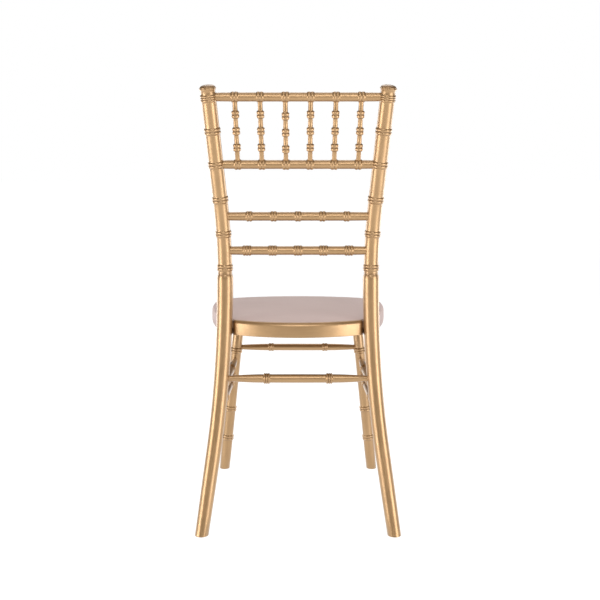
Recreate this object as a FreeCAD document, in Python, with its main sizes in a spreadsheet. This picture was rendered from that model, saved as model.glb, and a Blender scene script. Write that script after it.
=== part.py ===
import FreeCAD, Part
import math
import os
from types import SimpleNamespace

import Sketcher

# A banqueting chair of turned beech: two bent back posts carry four ringed back
# rails, six spindles and the seat frame. Millimetres and degrees. The sitter faces
# -Y, and the chair stands on z = 0 with the origin under the middle of its box.

Vector = FreeCAD.Vector
UP = Vector(0, 0, 1)
doc = FreeCAD.newDocument("BanquetChair")

# Driving dimensions. Depths are measured forward or back from the post line, which
# is the line through the two posts where they stand upright, at the waist.
DIMENSIONS = [
    ("overall_height", 920, "floor to the tops of the posts"),
    ("post_waist_height", 530, "where a post stands upright"),
    ("post_waist_half_spacing", 153.6, "chair middle to post middle at the waist"),
    ("post_splay_angle", 23.1, "turn of each post's bending plane"),
    ("post_lean_angle", 12.65, "lean of the straight top of a post"),
    ("post_lean_radius", 690, "bend from the waist to the straight top"),
    ("post_kick_angle", 19.2, "slope of the straight foot of a post"),
    ("post_kick_radius", 1150, "bend from the waist to the straight foot"),
    ("post_neck_diameter", 30.2, "post above the shoulder"),
    ("post_shoulder_diameter", 33.8, "fullest part, above the seat"),
    ("post_seat_diameter", 31, "post at the top of the rear rail"),
    ("post_foot_diameter", 28, "post at the floor"),
    ("post_ring_diameter", 33.8, "land of a ring"),
    ("post_ring_lip", 3.8, "ring middle to each edge of its land"),
    ("post_ring_flare", 7.6, "ring middle to the end of each flare"),
    ("post_ring_sink", 1.05, "ends of rings and shoulder below the post's surface"),
    ("post_ring_spacing", 71.7, "rings below the spindle rail"),
    ("shoulder_height", 8, "rise from the shoulder to the neck"),
    ("top_ring_drop", 2, "top rail's middle down to the triple ring"),
    ("cap_height", 19, "post end to cap top"),
    ("cap_rim_diameter", 34.2, "widest part of the cap"),
    ("cap_rim_rise", 9.5, "post end to the rim"),
    ("cap_rim_thickness", 2.8, "height of the rim"),
    ("cap_waist_diameter", 29.6, "hollow under the rim"),
    ("cap_waist_rise", 3, "height of that hollow"),
    ("cap_crown_diameter", 20, "end of the dome's steep part"),
    ("cap_crown_drop", 1.4, "cap top down to that end"),
    ("cap_tip_diameter", 4, "flat tip of the dome"),
    ("top_rail_drop", 25, "top of the posts down to the top rail's middle"),
    ("spindle_rail_drop", 134, "top rail down to the spindle rail"),
    ("upper_slat_drop", 107, "spindle rail down to the upper slat"),
    ("lower_slat_drop", 72, "upper slat down to the lower slat"),
    ("rail_diameter", 18.2, "back rails"),
    ("rail_ring_diameter", 22, "land of a ring"),
    ("rail_ring_lip", 3.6, "ring middle to each edge of its land"),
    ("rail_ring_flare", 5, "ring middle to the end of each flare"),
    ("upper_slat_ring_spacing", 50.7, "five rings"),
    ("lower_slat_ring_spacing", 53.4, "five rings"),
    ("spindle_top_spacing", 50.8, "six spindles at the top rail"),
    ("spindle_foot_spacing", 49.2, "six spindles at the spindle rail"),
    ("spindle_diameter", 10, "plain lengths"),
    ("spindle_ring_diameter", 16, "land of a ring"),
    ("spindle_ring_lip", 4, "ring middle to each edge"),
    ("spindle_ring_spacing", 33.5, "three rings"),
    ("spindle_tenon", 7.5, "depth in the rails"),
    ("low_spindle_drop", 3.4, "third spindle's rings below the others"),
    ("rail_tenon", 12, "depth of rails and stretchers in posts and legs"),
    ("tenon_relief", 3, "parallel part beyond that depth"),
    ("fit", 0.05, "gap round a glued tenon, and past its end"),
    ("cope_gap", 0.25, "gap between a coped end and a post"),
    ("leg_diameter", 25.6, "front legs"),
    ("leg_top_half_spacing", 141.5, "legs at the underside of the seat"),
    ("leg_foot_half_spacing", 184.8, "legs at the floor"),
    ("leg_top_reach", 340.5, "post line to leg middle under the seat"),
    ("leg_foot_reach", 360.5, "post line to leg middle at the floor"),
    ("leg_tenon_diameter", 19, "round tenon in the seat frame"),
    ("leg_tenon", 18, "height of that tenon"),
    ("leg_tenon_root", 10, "how far it runs down inside the leg"),
    ("leg_ring_diameter", 30, "land of a ring"),
    ("leg_ring_flare", 6, "ring middle to the end of each flare"),
    ("leg_ring_first", 82, "floor to the lowest ring"),
    ("leg_ring_spacing", 74.4, "four rings"),
    ("stretcher_diameter", 18, "rear and side stretchers between the rings"),
    ("front_stretcher_diameter", 16.4, "front stretcher between the rings"),
    ("stretcher_end_diameter", 12, "stretchers at the posts and legs"),
    ("stretcher_ring_diameter", 23, "land of a ring"),
    ("front_stretcher_ring_diameter", 20, "land of a ring"),
    ("stretcher_taper_radius", 2900, "bow of the long tapers"),
    ("stretcher_ring_half_spacing", 66, "stretcher middle to each ring"),
    ("cross_stretcher_height", 312, "front and rear stretchers"),
    ("upper_side_stretcher_height", 281, "upper stretcher of each side"),
    ("side_stretcher_spacing", 36, "upper stretcher of a side down to the lower"),
    ("seat_half_width", 199.8, "at the widest"),
    ("seat_widest_reach", 246.5, "post line to the widest part"),
    ("seat_side_fall", 47.760055, "how far a side draws in from the widest part to the post line"),
    ("seat_corner_radius", 87, "front corners"),
    ("seat_front_radius", 410, "bow of the front"),
    ("seat_reach", 385.5, "post line to the front of the seat"),
    ("seat_bottom_height", 403, "floor to the underside of the frame"),
    ("seat_thickness", 31.5, "underside of the frame to the top of the rear rail"),
    ("seat_rail_width", 34, "front and side rails, in plan"),
    ("rear_rail_width", 28, "rear rail, in plan"),
    ("rear_rail_radius", 267, "bow of the rear rail's outer face"),
    ("rear_rail_overhang", 43.1, "post line back to the rear rail's outer face"),
    ("rear_rail_lip", 10, "upstand behind the pad"),
    ("rear_rail_end_gap", 0.8, "rear rail end to post"),
    ("rear_rail_end_rounding", 8, "outer corners of the rear rail"),
    ("rear_rail_edge_rounding", 5, "top edge of the rear rail"),
    ("rear_tenon_thickness", 8, "tenon of the rear rail"),
    ("rear_tenon_height", 12, "tenon of the rear rail"),
    ("rear_tenon_rise", 14, "underside of the frame to the tenon"),
    ("rear_tenon_depth", 11, "in the post"),
    ("rear_tenon_setback", 2.5, "post line forward to the tenon's middle"),
    ("rear_tenon_clearance", 1, "side rail's end to the tenon"),
    ("frame_joint_reach", 272.5, "post line to the joint of side and front rails"),
    ("pad_thickness", 7, "foam and cover on the frame, at the edge"),
    ("pad_crown", 4, "rise from the edge to the middle"),
    ("pad_crown_reach", 80, "edge of the pad to its flat middle"),
    ("pad_skirt", 2.5, "cover over the outside of the frame"),
    ("pad_hem_inset", 1.2, "how far the skirt draws in at its hem"),
    ("pad_hem_rise", 8, "hem to the fullest part of the skirt"),
    ("pad_edge_rounding", 6, "top edge of the pad"),
    ("pad_corner_setback", 2.5, "post line forward to the pad's edge beside a post"),
    ("pad_gap", 0.3, "pad to frame"),
    ("panel_thickness", 5, "plywood under the pad"),
    ("panel_ledge", 12, "rebate that the plywood rests in"),
    ("panel_gap", 0.5, "plywood to rebate"),
]
SPINDLES = 6
SLAT_RINGS = 5
SPINDLE_RINGS = 3
LEG_RINGS = 4
POST_LOW_RINGS = 4

sheet = doc.addObject("Spreadsheet::Sheet", "Sizes")
for row, (alias, number, note) in enumerate(DIMENSIONS, start=1):
    sheet.set(f"A{row}", alias)
    sheet.set(f"B{row}", str(number))
    sheet.set(f"C{row}", note)
    sheet.setAlias(f"B{row}", alias)
doc.recompute()


class Measure:
    """A size with its value and the expression that gives it from the sheet."""

    def __init__(self, value, text):
        self.value = value
        self.text = text

    def join(self, sign, other, value):
        return Measure(value, f"({self.text} {sign} {measure(other).text})")

    def __add__(self, other):
        return self.join("+", other, self.value + measure(other).value)

    def __sub__(self, other):
        return self.join("-", other, self.value - measure(other).value)

    def __mul__(self, other):
        return self.join("*", other, self.value * measure(other).value)

    def __truediv__(self, other):
        return self.join("/", other, self.value / measure(other).value)

    def __neg__(self):
        return Measure(-self.value, f"(-1 * {self.text})")


def measure(number):
    return number if isinstance(number, Measure) else Measure(float(number), repr(float(number)))


def root(number):
    return Measure(math.sqrt(number.value), f"sqrt({number.text})")


def sine(angle):
    return Measure(math.sin(math.radians(angle.value)), f"sin({angle.text})")


def cosine(angle):
    return Measure(math.cos(math.radians(angle.value)), f"cos({angle.text})")


def tangent(angle):
    return Measure(math.tan(math.radians(angle.value)), f"tan({angle.text})")


values = {alias: Measure(float(number), f"Sizes.{alias}") for alias, number, note in DIMENSIONS}
size = SimpleNamespace(**values)
ZERO = measure(0)
TOUCH = 0.01

# Heights above the floor: the back hangs from the tops of the posts
top_rail_height = size.overall_height - size.top_rail_drop
spindle_rail_height = top_rail_height - size.spindle_rail_drop
upper_slat_height = spindle_rail_height - size.upper_slat_drop
lower_slat_height = upper_slat_height - size.lower_slat_drop
seat_top_height = size.seat_bottom_height + size.seat_thickness


# Bodies and sketches
def body_feature(body, role):
    for feature in body.Origin.OriginFeatures:
        if feature.Role == role:
            return feature
    raise ValueError(role)


def new_sketch(body, name, plane, x=ZERO, y=ZERO, lift=ZERO):
    """A sketch on one of the body's own planes, shifted in that plane and lifted off it."""
    sketch = body.newObject("Sketcher::SketchObject", name)
    sketch.AttachmentSupport = [(body_feature(body, plane), "")]
    sketch.MapMode = "FlatFace"
    for axis, shift in zip("xyz", (x, y, lift)):
        if shift is not ZERO:
            sketch.setExpression(f"AttachmentOffset.Base.{axis}", shift.text)
    return sketch


def bind(sketch, constraint, amount):
    index = sketch.addConstraint(constraint)
    sketch.setExpression(f"Constraints[{index}]", amount.text)


def pin(sketch, line, end, point):
    """Hold one end of a line or arc at a measured place."""
    for kind, amount in zip(("DistanceX", "DistanceY"), point):
        bind(sketch, Sketcher.Constraint(kind, -1, 1, line, end, amount.value), amount)


def flat(point):
    return Vector(point[0].value, point[1].value, 0)


def outline(sketch, steps):
    """A closed outline. A step is its first corner, and for an arc also the centre, the
    radius and the turn, which is 1 anticlockwise and -1 clockwise."""
    ends = []
    for index, step in enumerate(steps):
        start = flat(step[0])
        finish = flat(steps[(index + 1) % len(steps)][0])
        if len(step) == 1:
            sketch.addGeometry(Part.LineSegment(start, finish), False)
            ends.append((1, 2))
            continue
        centre, radius, turn = step[1:]
        middle = flat(centre)
        first, last = (start, finish) if turn > 0 else (finish, start)
        angles = [math.atan2(point.y - middle.y, point.x - middle.x) for point in (first, last)]
        if angles[1] < angles[0]:
            angles[1] += 2 * math.pi
        circle = Part.Circle(middle, UP, radius.value)
        sketch.addGeometry(Part.ArcOfCircle(circle, angles[0], angles[1]), False)
        ends.append((1, 2) if turn > 0 else (2, 1))
    for index, step in enumerate(steps):
        before = index - 1 if index else len(steps) - 1
        joined = Sketcher.Constraint("Coincident", before, ends[before][1], index, ends[index][0])
        sketch.addConstraint(joined)
        pin(sketch, index, ends[index][0], step[0])
        if len(step) > 1:
            bind(sketch, Sketcher.Constraint("Radius", index, step[2].value), step[2])


def straight(corners):
    """The steps of an outline of straight lines."""
    return [(corner,) for corner in corners]


def revolve(body, name, sketch):
    turning = body.newObject("PartDesign::Revolution", name)
    turning.Profile = sketch
    turning.ReferenceAxis = (sketch, ["V_Axis"])
    turning.Angle = 360
    return turning


def bow_centre(first, second, radius):
    """The centre of an arc that bows away from the axis between two corners of a turning."""
    run, rise = second[0] - first[0], second[1] - first[1]
    chord = root(run * run + rise * rise)
    depth = root(radius * radius - chord * chord / 4)
    x = (first[0] + second[0]) / 2 - rise * depth / chord
    y = (first[1] + second[1]) / 2 + run * depth / chord
    return x, y


def turned(label, stations):
    """A piece turned about its own Z axis: stations are (height, diameter) along it, with
    a third value where the line to the next station is an outward bow of that radius."""
    body = doc.addObject("PartDesign::Body", label)
    body.Label = label
    sketch = new_sketch(body, f"{label}_profile", "XZ_Plane")
    steps = [((ZERO, stations[0][0]),)]
    for station, following in zip(stations, stations[1:] + [None]):
        corner = (station[1] / 2, station[0])
        if len(station) == 2:
            steps.append((corner,))
        else:
            radius = station[2]
            steps.append((corner, bow_centre(corner, (following[1] / 2, following[0]), radius), radius, 1))
    steps.append(((ZERO, stations[-1][0]),))
    outline(sketch, steps)
    revolve(body, f"{label}_turning", sketch)
    return body


def ring_steps(ring):
    """A ring: a land with a flare on each side, or without flares a plain collar."""
    land = [(ring.radius, -ring.lip), (ring.radius, ring.lip)]
    if ring.flare:
        land = [(ring.root, -ring.flare)] + land + [(ring.root, ring.flare)]
    return straight([(ZERO, land[0][1])] + land + [(ZERO, land[-1][1])])


def ring_form(root_diameter, diameter, lip, flare=None):
    return SimpleNamespace(root=root_diameter / 2, radius=diameter / 2, lip=lip, flare=flare)


def rings(body, ring, first, spacing=None, count=1):
    """Turn a ring at one height and repeat it along the piece."""
    name = f"{body.Label}_ring"
    sketch = new_sketch(body, f"{name}_profile", "XZ_Plane", y=first)
    outline(sketch, ring_steps(ring))
    turning = revolve(body, name, sketch)
    if count > 1:
        pattern = body.newObject("PartDesign::LinearPattern", f"{name}s")
        pattern.Originals = [turning]
        pattern.Direction = (body_feature(body, "Z_Axis"), [""])
        pattern.Occurrences = count
        pattern.setExpression("Length", (spacing * (count - 1)).text)
        body.Tip = pattern


def aim(thing, start, direction):
    """Put a piece that was made along Z at a place, pointing along a direction."""
    thing.Placement = FreeCAD.Placement(start, FreeCAD.Rotation(UP, direction))


def bore(name, start, direction, diameter, length):
    """The tool for a round hole, from its bottom outwards."""
    tool = doc.addObject("Part::Cylinder", name)
    tool.setExpression("Radius", (diameter / 2).text)
    tool.setExpression("Height", length.text)
    aim(tool, start, direction)
    return tool


def cut(label, base, tools):
    """The finished piece: a base with its holes cut."""
    if base.Label == label:
        base.Label = f"{label}_blank"
    holes = doc.addObject("Part::Compound", f"{label}_holes")
    holes.Links = tools
    piece = doc.addObject("Part::Cut", label)
    piece.Base = base
    piece.Tool = holes
    piece.Label = label
    return piece


def mirrored(label, source):
    piece = doc.addObject("Part::Mirroring", label)
    piece.Source = source
    piece.Normal = Vector(1, 0, 0)
    piece.Label = label
    return piece


# The bent line that a back post follows, in its own plane: how far it stands behind
# its waist at a height, and its slope there
def along_post(height):
    if height.value >= size.post_waist_height.value:
        rise = height - size.post_waist_height
        radius, angle, side = size.post_lean_radius, size.post_lean_angle, 1
    else:
        rise = size.post_waist_height - height
        radius, angle, side = size.post_kick_radius, size.post_kick_angle, -1
    straight = rise - radius * sine(angle)
    if straight.value > 0:
        back = radius * (measure(1) - cosine(angle)) + straight * tangent(angle)
        slope = angle * side
    else:
        back = radius - root(radius * radius - rise * rise)
        sink = rise / radius
        slope = Measure(math.degrees(math.asin(sink.value)), f"asin({sink.text})") * side
    return back, slope


def post_half_spacing(height):
    return size.post_waist_half_spacing + along_post(height)[0] * sine(size.post_splay_angle)


def post_back(height):
    """Distance behind the post line."""
    return along_post(height)[0] * cosine(size.post_splay_angle)


sole = size.post_foot_diameter / 2
sole_back = sole * cosine(size.post_splay_angle) / cosine(size.post_kick_angle)
sole_aside = sole * sine(size.post_splay_angle)
rear_reach = post_back(ZERO) + root(sole_back * sole_back + sole_aside * sole_aside)
post_line = ((size.seat_reach - rear_reach) / 2).value


def place(x, back, height):
    """A point from its distance to the side, behind the post line and above the floor."""
    return Vector(x.value, post_line + back.value, height.value)


def on_post(height):
    return place(post_half_spacing(height), post_back(height), height)


def leg_half_spacing(height):
    narrowing = size.leg_top_half_spacing - size.leg_foot_half_spacing
    return size.leg_foot_half_spacing + narrowing * height / size.seat_bottom_height


def leg_reach(height):
    """Distance in front of the post line."""
    rake = size.leg_top_reach - size.leg_foot_reach
    return size.leg_foot_reach + rake * height / size.seat_bottom_height


def on_leg(height):
    return place(leg_half_spacing(height), -leg_reach(height), height)


def opposite(point):
    return Vector(-point.x, point.y, point.z)


def saw(name, base, spot, bottom, top):
    """Cut a leg or post off level between two heights."""
    block = doc.addObject("Part::Box", f"{name}_block")
    width = size.post_shoulder_diameter * 3
    for side in ("Length", "Width"):
        block.setExpression(side, width.text)
    block.setExpression("Height", (top - bottom).text)
    block.Placement.Base = Vector(spot.x - width.value / 2, spot.y - width.value / 2, bottom.value)
    sawn = doc.addObject("Part::Cut", name)
    sawn.Base = base
    sawn.Tool = block
    return sawn


# Pieces that run straight from post to post, from leg to leg or from leg to post, with
# a parallel end that is glued into a blind hole
def tenoned(label, start, finish, reach, inset, diameter, between=lambda length: []):
    """Turn a piece on the line between two posts or legs. The reach is their distance,
    the inset how far short of each middle it ends, and between gives the stations from
    one end to the other."""
    length = reach - inset * 2
    body = turned(label, [(ZERO, diameter)] + between(length) + [(length, diameter)])
    direction = (finish - start).normalize()
    aim(body, start + direction * inset.value, direction)
    return body, length


def end_hole(name, spot, inward, inset, end_diameter):
    """The blind hole for such an end, from its bottom towards the middle of the piece."""
    start = spot + inward * (inset - size.fit).value
    depth = size.rail_tenon * 2 + size.fit
    return bore(name, start, inward, end_diameter + size.fit * 2, depth)


# Back rails: the two that hold the spindles have a ring at each spindle, and each of the
# two slats below has five
def across(height):
    """The two ends of a line from post to post, the sitter's right end first."""
    left = on_post(height)
    return opposite(left), left


post_inset = size.post_neck_diameter / 2 - size.rail_tenon


def back_rail(label, height, ring_spacing, ring_count):
    right, left = across(height)
    reach = post_half_spacing(height) * 2
    body, length = tenoned(label, right, left, reach, post_inset, size.rail_diameter)
    land = (size.rail_ring_diameter, size.rail_ring_lip, size.rail_ring_flare)
    ring = ring_form(size.rail_diameter, *land)
    first = length / 2 - ring_spacing * (ring_count - 1) / 2
    rings(body, ring, first, ring_spacing, ring_count)
    return body


top_rail = back_rail("top_rail", top_rail_height, size.spindle_top_spacing, SPINDLES)
spindle_rail = back_rail("spindle_rail", spindle_rail_height, size.spindle_foot_spacing, SPINDLES)
back_rail("upper_slat", upper_slat_height, size.upper_slat_ring_spacing, SLAT_RINGS)
back_rail("lower_slat", lower_slat_height, size.lower_slat_ring_spacing, SLAT_RINGS)

# Spindles: six thin turnings that fan out a little towards the top rail. The third from
# the sitter's left sits lower than the rest
LOW_SPINDLE = 3
back_rise = top_rail_height - spindle_rail_height
back_run = post_back(top_rail_height) - post_back(spindle_rail_height)
spindle_inset = size.rail_diameter / 2 - size.spindle_tenon
top_holes = []
foot_holes = []
for number in range(1, SPINDLES + 1):
    step = (SPINDLES + 1) / 2 - number
    foot_x = size.spindle_foot_spacing * step
    top_x = size.spindle_top_spacing * step
    foot = place(foot_x, post_back(spindle_rail_height), spindle_rail_height)
    top = place(top_x, post_back(top_rail_height), top_rail_height)
    fan = top_x - foot_x
    length = root(back_rise * back_rise + back_run * back_run + fan * fan) - spindle_inset * 2
    spindle = turned(f"spindle_{number}", [(ZERO, size.spindle_diameter), (length, size.spindle_diameter)])
    first = length / 2 - size.spindle_ring_spacing * (SPINDLE_RINGS - 1) / 2
    if number == LOW_SPINDLE:
        first = first - size.low_spindle_drop
    ring = ring_form(size.spindle_diameter, size.spindle_ring_diameter, size.spindle_ring_lip)
    rings(spindle, ring, first, size.spindle_ring_spacing, SPINDLE_RINGS)
    upward = (top - foot).normalize()
    aim(spindle, foot + upward * spindle_inset.value, upward)
    hole = (size.spindle_diameter + size.fit * 2, size.rail_diameter)
    shift = upward * (spindle_inset - size.fit).value
    foot_holes.append(bore(f"spindle_{number}_foot_hole", foot + shift, upward, *hole))
    top_holes.append(bore(f"spindle_{number}_top_hole", top - shift, -upward, *hole))
cut("top_rail", top_rail, top_holes)
cut("spindle_rail", spindle_rail, foot_holes)

# Stretchers: full between two rings and tapered from the rings to the ends
leg_inset = size.leg_diameter / 2 - size.rail_tenon


def stretcher(label, start, finish, reach, inset, diameter, ring_diameter):
    end = size.stretcher_end_diameter
    bow = size.stretcher_taper_radius
    half = size.stretcher_ring_half_spacing

    def between(length):
        collar = size.rail_tenon + size.tenon_relief
        return [
            (collar, end, bow),
            (length / 2 - half, diameter),
            (length / 2 + half, diameter, bow),
            (length - collar, end),
        ]

    body, length = tenoned(label, start, finish, reach, inset, end, between)
    ring = ring_form(diameter, ring_diameter, size.rail_ring_lip)
    rings(body, ring, length / 2 - half, half * 2, 2)


cross = size.cross_stretcher_height
stretcher(
    "rear_stretcher",
    *across(cross),
    post_half_spacing(cross) * 2,
    post_inset,
    size.stretcher_diameter,
    size.stretcher_ring_diameter,
)
stretcher(
    "front_stretcher",
    opposite(on_leg(cross)),
    on_leg(cross),
    leg_half_spacing(cross) * 2,
    leg_inset,
    size.front_stretcher_diameter,
    size.front_stretcher_ring_diameter,
)
lower_side_height = size.upper_side_stretcher_height - size.side_stretcher_spacing
side_heights = {"upper": size.upper_side_stretcher_height, "lower": lower_side_height}
for name, height in side_heights.items():
    run = post_back(height) + leg_reach(height)
    widening = post_half_spacing(height) - leg_half_spacing(height)
    for side, flip in (("left", lambda point: point), ("right", opposite)):
        stretcher(
            f"side_stretcher_{name}_{side}",
            flip(on_leg(height)),
            flip(on_post(height)),
            root(run * run + widening * widening),
            leg_inset,
            size.stretcher_diameter,
            size.stretcher_ring_diameter,
        )


# Seat plan: each side is one bow, each front corner a tighter one and the front a third,
# all tangent, and every inner line of the frame runs parallel to them
def meet(first, first_radius, second, second_radius, side):
    """Where two circles cross, on one side of the line between their centres."""
    across_x, across_y = second[0] - first[0], second[1] - first[1]
    apart = root(across_x * across_x + across_y * across_y)
    along = (first_radius * first_radius - second_radius * second_radius + apart * apart) / (apart * 2)
    off = root(first_radius * first_radius - along * along) * side
    x = first[0] + (across_x * along - across_y * off) / apart
    y = first[1] + (across_y * along + across_x * off) / apart
    return x, y


def beyond(centre, through, distance):
    """The point at a distance from a centre on the line through another point."""
    run, rise = through[0] - centre[0], through[1] - centre[1]
    apart = root(run * run + rise * rise)
    return centre[0] + run * distance / apart, centre[1] + rise * distance / apart


def left_right(point):
    return -point[0], point[1]


line = measure(post_line)
side_fall = size.seat_side_fall
seat_side_radius = (side_fall * side_fall + size.seat_widest_reach * size.seat_widest_reach) / (side_fall * 2)
side_centre = (size.seat_half_width - seat_side_radius, line - size.seat_widest_reach)
front_centre = (ZERO, line - size.seat_reach + size.seat_front_radius)
corner_centre = meet(
    side_centre,
    seat_side_radius - size.seat_corner_radius,
    front_centre,
    size.seat_front_radius - size.seat_corner_radius,
    -1,
)


def side_point(inset, y):
    """The point of a side's line, inset from the outside, at a depth."""
    radius = seat_side_radius - inset
    rise = y - side_centre[1]
    return side_centre[0] + root(radius * radius - rise * rise), y


def front_bow(inset, turn):
    """The steps from one side round the front: clockwise runs left to right."""
    side_radius = seat_side_radius - inset
    corner_radius = size.seat_corner_radius - inset
    front_radius = size.seat_front_radius - inset
    side_end = beyond(side_centre, corner_centre, side_radius)
    front_end = beyond(front_centre, corner_centre, front_radius)
    steps = [
        (side_end, corner_centre, corner_radius, -1),
        (front_end, front_centre, front_radius, -1),
        (left_right(front_end), left_right(corner_centre), corner_radius, -1),
        (left_right(side_end), left_right(side_centre), side_radius, -1),
    ]
    if turn < 0:
        return steps
    return [
        (left_right(side_end), left_right(corner_centre), corner_radius, 1),
        (left_right(front_end), front_centre, front_radius, 1),
        (front_end, corner_centre, corner_radius, 1),
        (side_end, side_centre, side_radius, 1),
    ]


def seat_plan(body, name, inset, rear_middle, rear_radius, height):
    """The seat's sides and front, inset, and a bowed back."""
    rear_centre = (ZERO, rear_middle - rear_radius)
    side_radius = seat_side_radius - inset
    corner = meet(side_centre, side_radius, rear_centre, rear_radius, 1)
    sketch = new_sketch(body, name, "XY_Plane", lift=height)
    steps = [(corner, side_centre, side_radius, -1)] + front_bow(inset, -1)
    steps.append((left_right(corner), rear_centre, rear_radius, -1))
    outline(sketch, steps)
    return sketch


def slab(label, inset, rear_middle, rear_radius, bottom, top):
    """A level slab of that plan."""
    body = doc.addObject("PartDesign::Body", label)
    body.Label = label
    sketch = seat_plan(body, f"{label}_plan", inset, rear_middle, rear_radius, bottom)
    pad_up(body, label, sketch, top - bottom)
    return body


def pad_up(body, label, sketch, height):
    lift = body.newObject("PartDesign::Pad", f"{label}_pad")
    lift.Profile = sketch
    lift.setExpression("Length", height.text)
    return lift


# The seat frame: a bent front rail with both corners, two side rails that reach the
# posts, and a rear rail that bows out behind them
wood_inset = size.pad_skirt + size.pad_gap
inner_inset = wood_inset + size.seat_rail_width
rail_top = seat_top_height - size.pad_thickness
rail_rise = rail_top - size.seat_bottom_height
joint_y = line - size.frame_joint_reach
joint_outer = side_point(wood_inset, joint_y)
joint_inner = side_point(inner_inset, joint_y)

front_rail = doc.addObject("PartDesign::Body", "seat_rail_front_stock")
plan = new_sketch(front_rail, "seat_rail_front_plan", "XY_Plane", lift=size.seat_bottom_height)
outer = [(joint_outer, side_centre, seat_side_radius - wood_inset, -1)] + front_bow(wood_inset, -1)
inner = [(left_right(joint_inner), left_right(side_centre), seat_side_radius - inner_inset, 1)]
inner += front_bow(inner_inset, 1)
outline(plan, outer + [(left_right(joint_outer),)] + inner + [(joint_inner,)])
pad_up(front_rail, "seat_rail_front", plan, rail_rise)

# Where the rear rail ends beside a post, and the bows of its two faces
seat_middle_height = (size.seat_bottom_height + seat_top_height) / 2
rear_end = post_half_spacing(seat_middle_height) - size.post_seat_diameter / 2 - size.rear_rail_end_gap
rear_middle = line + size.rear_rail_overhang
rear_centre = (ZERO, rear_middle - size.rear_rail_radius)
rear_inner_radius = size.rear_rail_radius - size.rear_rail_width


def rear_point(radius, x):
    return x, rear_centre[1] + root(radius * radius - x * x)


rear_rail = doc.addObject("PartDesign::Body", "seat_rail_rear_stock")
plan = new_sketch(rear_rail, "seat_rail_rear_plan", "XY_Plane", lift=size.seat_bottom_height)
outer_end = rear_point(size.rear_rail_radius, rear_end)
inner_end = rear_point(rear_inner_radius, rear_end)
outline(
    plan,
    [
        (outer_end, rear_centre, size.rear_rail_radius, 1),
        (left_right(outer_end),),
        (left_right(inner_end), rear_centre, rear_inner_radius, -1),
        (inner_end,),
    ],
)
block = pad_up(rear_rail, "seat_rail_rear", plan, seat_top_height - size.seat_bottom_height)
doc.recompute()


def edges_where(shape, wanted):
    return [f"Edge{number}" for number, edge in enumerate(shape.Edges, start=1) if wanted(edge)]


def upright_outer(edge):
    ends = [vertex.Point for vertex in edge.Vertexes]
    upright = math.hypot(ends[0].x - ends[-1].x, ends[0].y - ends[-1].y) < TOUCH
    return upright and ends[0].y > (outer_end[1].value + inner_end[1].value) / 2


rounding = rear_rail.newObject("PartDesign::Fillet", "seat_rail_rear_ends")
rounding.Base = (block, edges_where(block.Shape, upright_outer))
rounding.setExpression("Radius", size.rear_rail_end_rounding.text)
doc.recompute()


def top_outer(edge):
    middle = edge.valueAt((edge.FirstParameter + edge.LastParameter) / 2)
    radius = math.hypot(middle.x, middle.y - rear_centre[1].value)
    high = min(vertex.Point.z for vertex in edge.Vertexes) > seat_top_height.value - TOUCH
    outside = radius > (size.rear_rail_radius - size.rear_rail_width / 2).value
    return high and outside and abs(middle.x) < TOUCH


top_edge = rear_rail.newObject("PartDesign::Fillet", "seat_rail_rear_top")
top_edge.Base = (rounding, edges_where(rounding.Shape, top_outer))
top_edge.setExpression("Radius", size.rear_rail_edge_rounding.text)


# The tenon on each end of the rear rail, in a slot in the post
def tenon_block(name, side, gap):
    block = doc.addObject("Part::Box", name)
    root_depth = size.rear_rail_end_rounding
    length = root_depth + size.rear_rail_end_gap + size.rear_tenon_depth + gap
    thickness = size.rear_tenon_thickness + gap * 2
    height = size.rear_tenon_height + gap * 2
    for edge, amount in (("Length", length), ("Width", thickness), ("Height", height)):
        block.setExpression(edge, amount.text)
    start = rear_end - root_depth
    x = start if side > 0 else -(start + length)
    y = line - size.rear_tenon_setback - thickness / 2
    z = size.seat_bottom_height + size.rear_tenon_rise - gap
    block.Placement.Base = Vector(x.value, y.value, z.value)
    return block


rear_stock = doc.addObject("Part::MultiFuse", "seat_rail_rear_tenoned")
rear_stock.Shapes = [
    rear_rail,
    tenon_block("rear_tenon_left", 1, ZERO),
    tenon_block("rear_tenon_right", -1, ZERO),
]

# Plywood panel: let into a rebate all round the frame, flush with it
panel_inset = inner_inset - size.panel_ledge
panel_rear = rear_middle - size.rear_rail_width + size.panel_ledge
panel_radius = rear_inner_radius + size.panel_ledge
panel_bottom = rail_top - size.panel_thickness
slab("seat_panel", panel_inset, panel_rear, panel_radius, panel_bottom, rail_top)


def panel_rebate(name):
    gap = size.panel_gap
    top = seat_top_height + size.pad_thickness
    return slab(name, panel_inset - gap, panel_rear + gap, panel_radius + gap, panel_bottom, top)


# Seat pad: thin foam under a cover that wraps down over the sides and the front, and
# stops against the lip of the rear rail
pad_rear = rear_middle - size.rear_rail_lip
pad_fall = pad_rear - line + size.pad_corner_setback
pad_radius = (rear_end * rear_end + pad_fall * pad_fall) / (pad_fall * 2)
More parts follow.
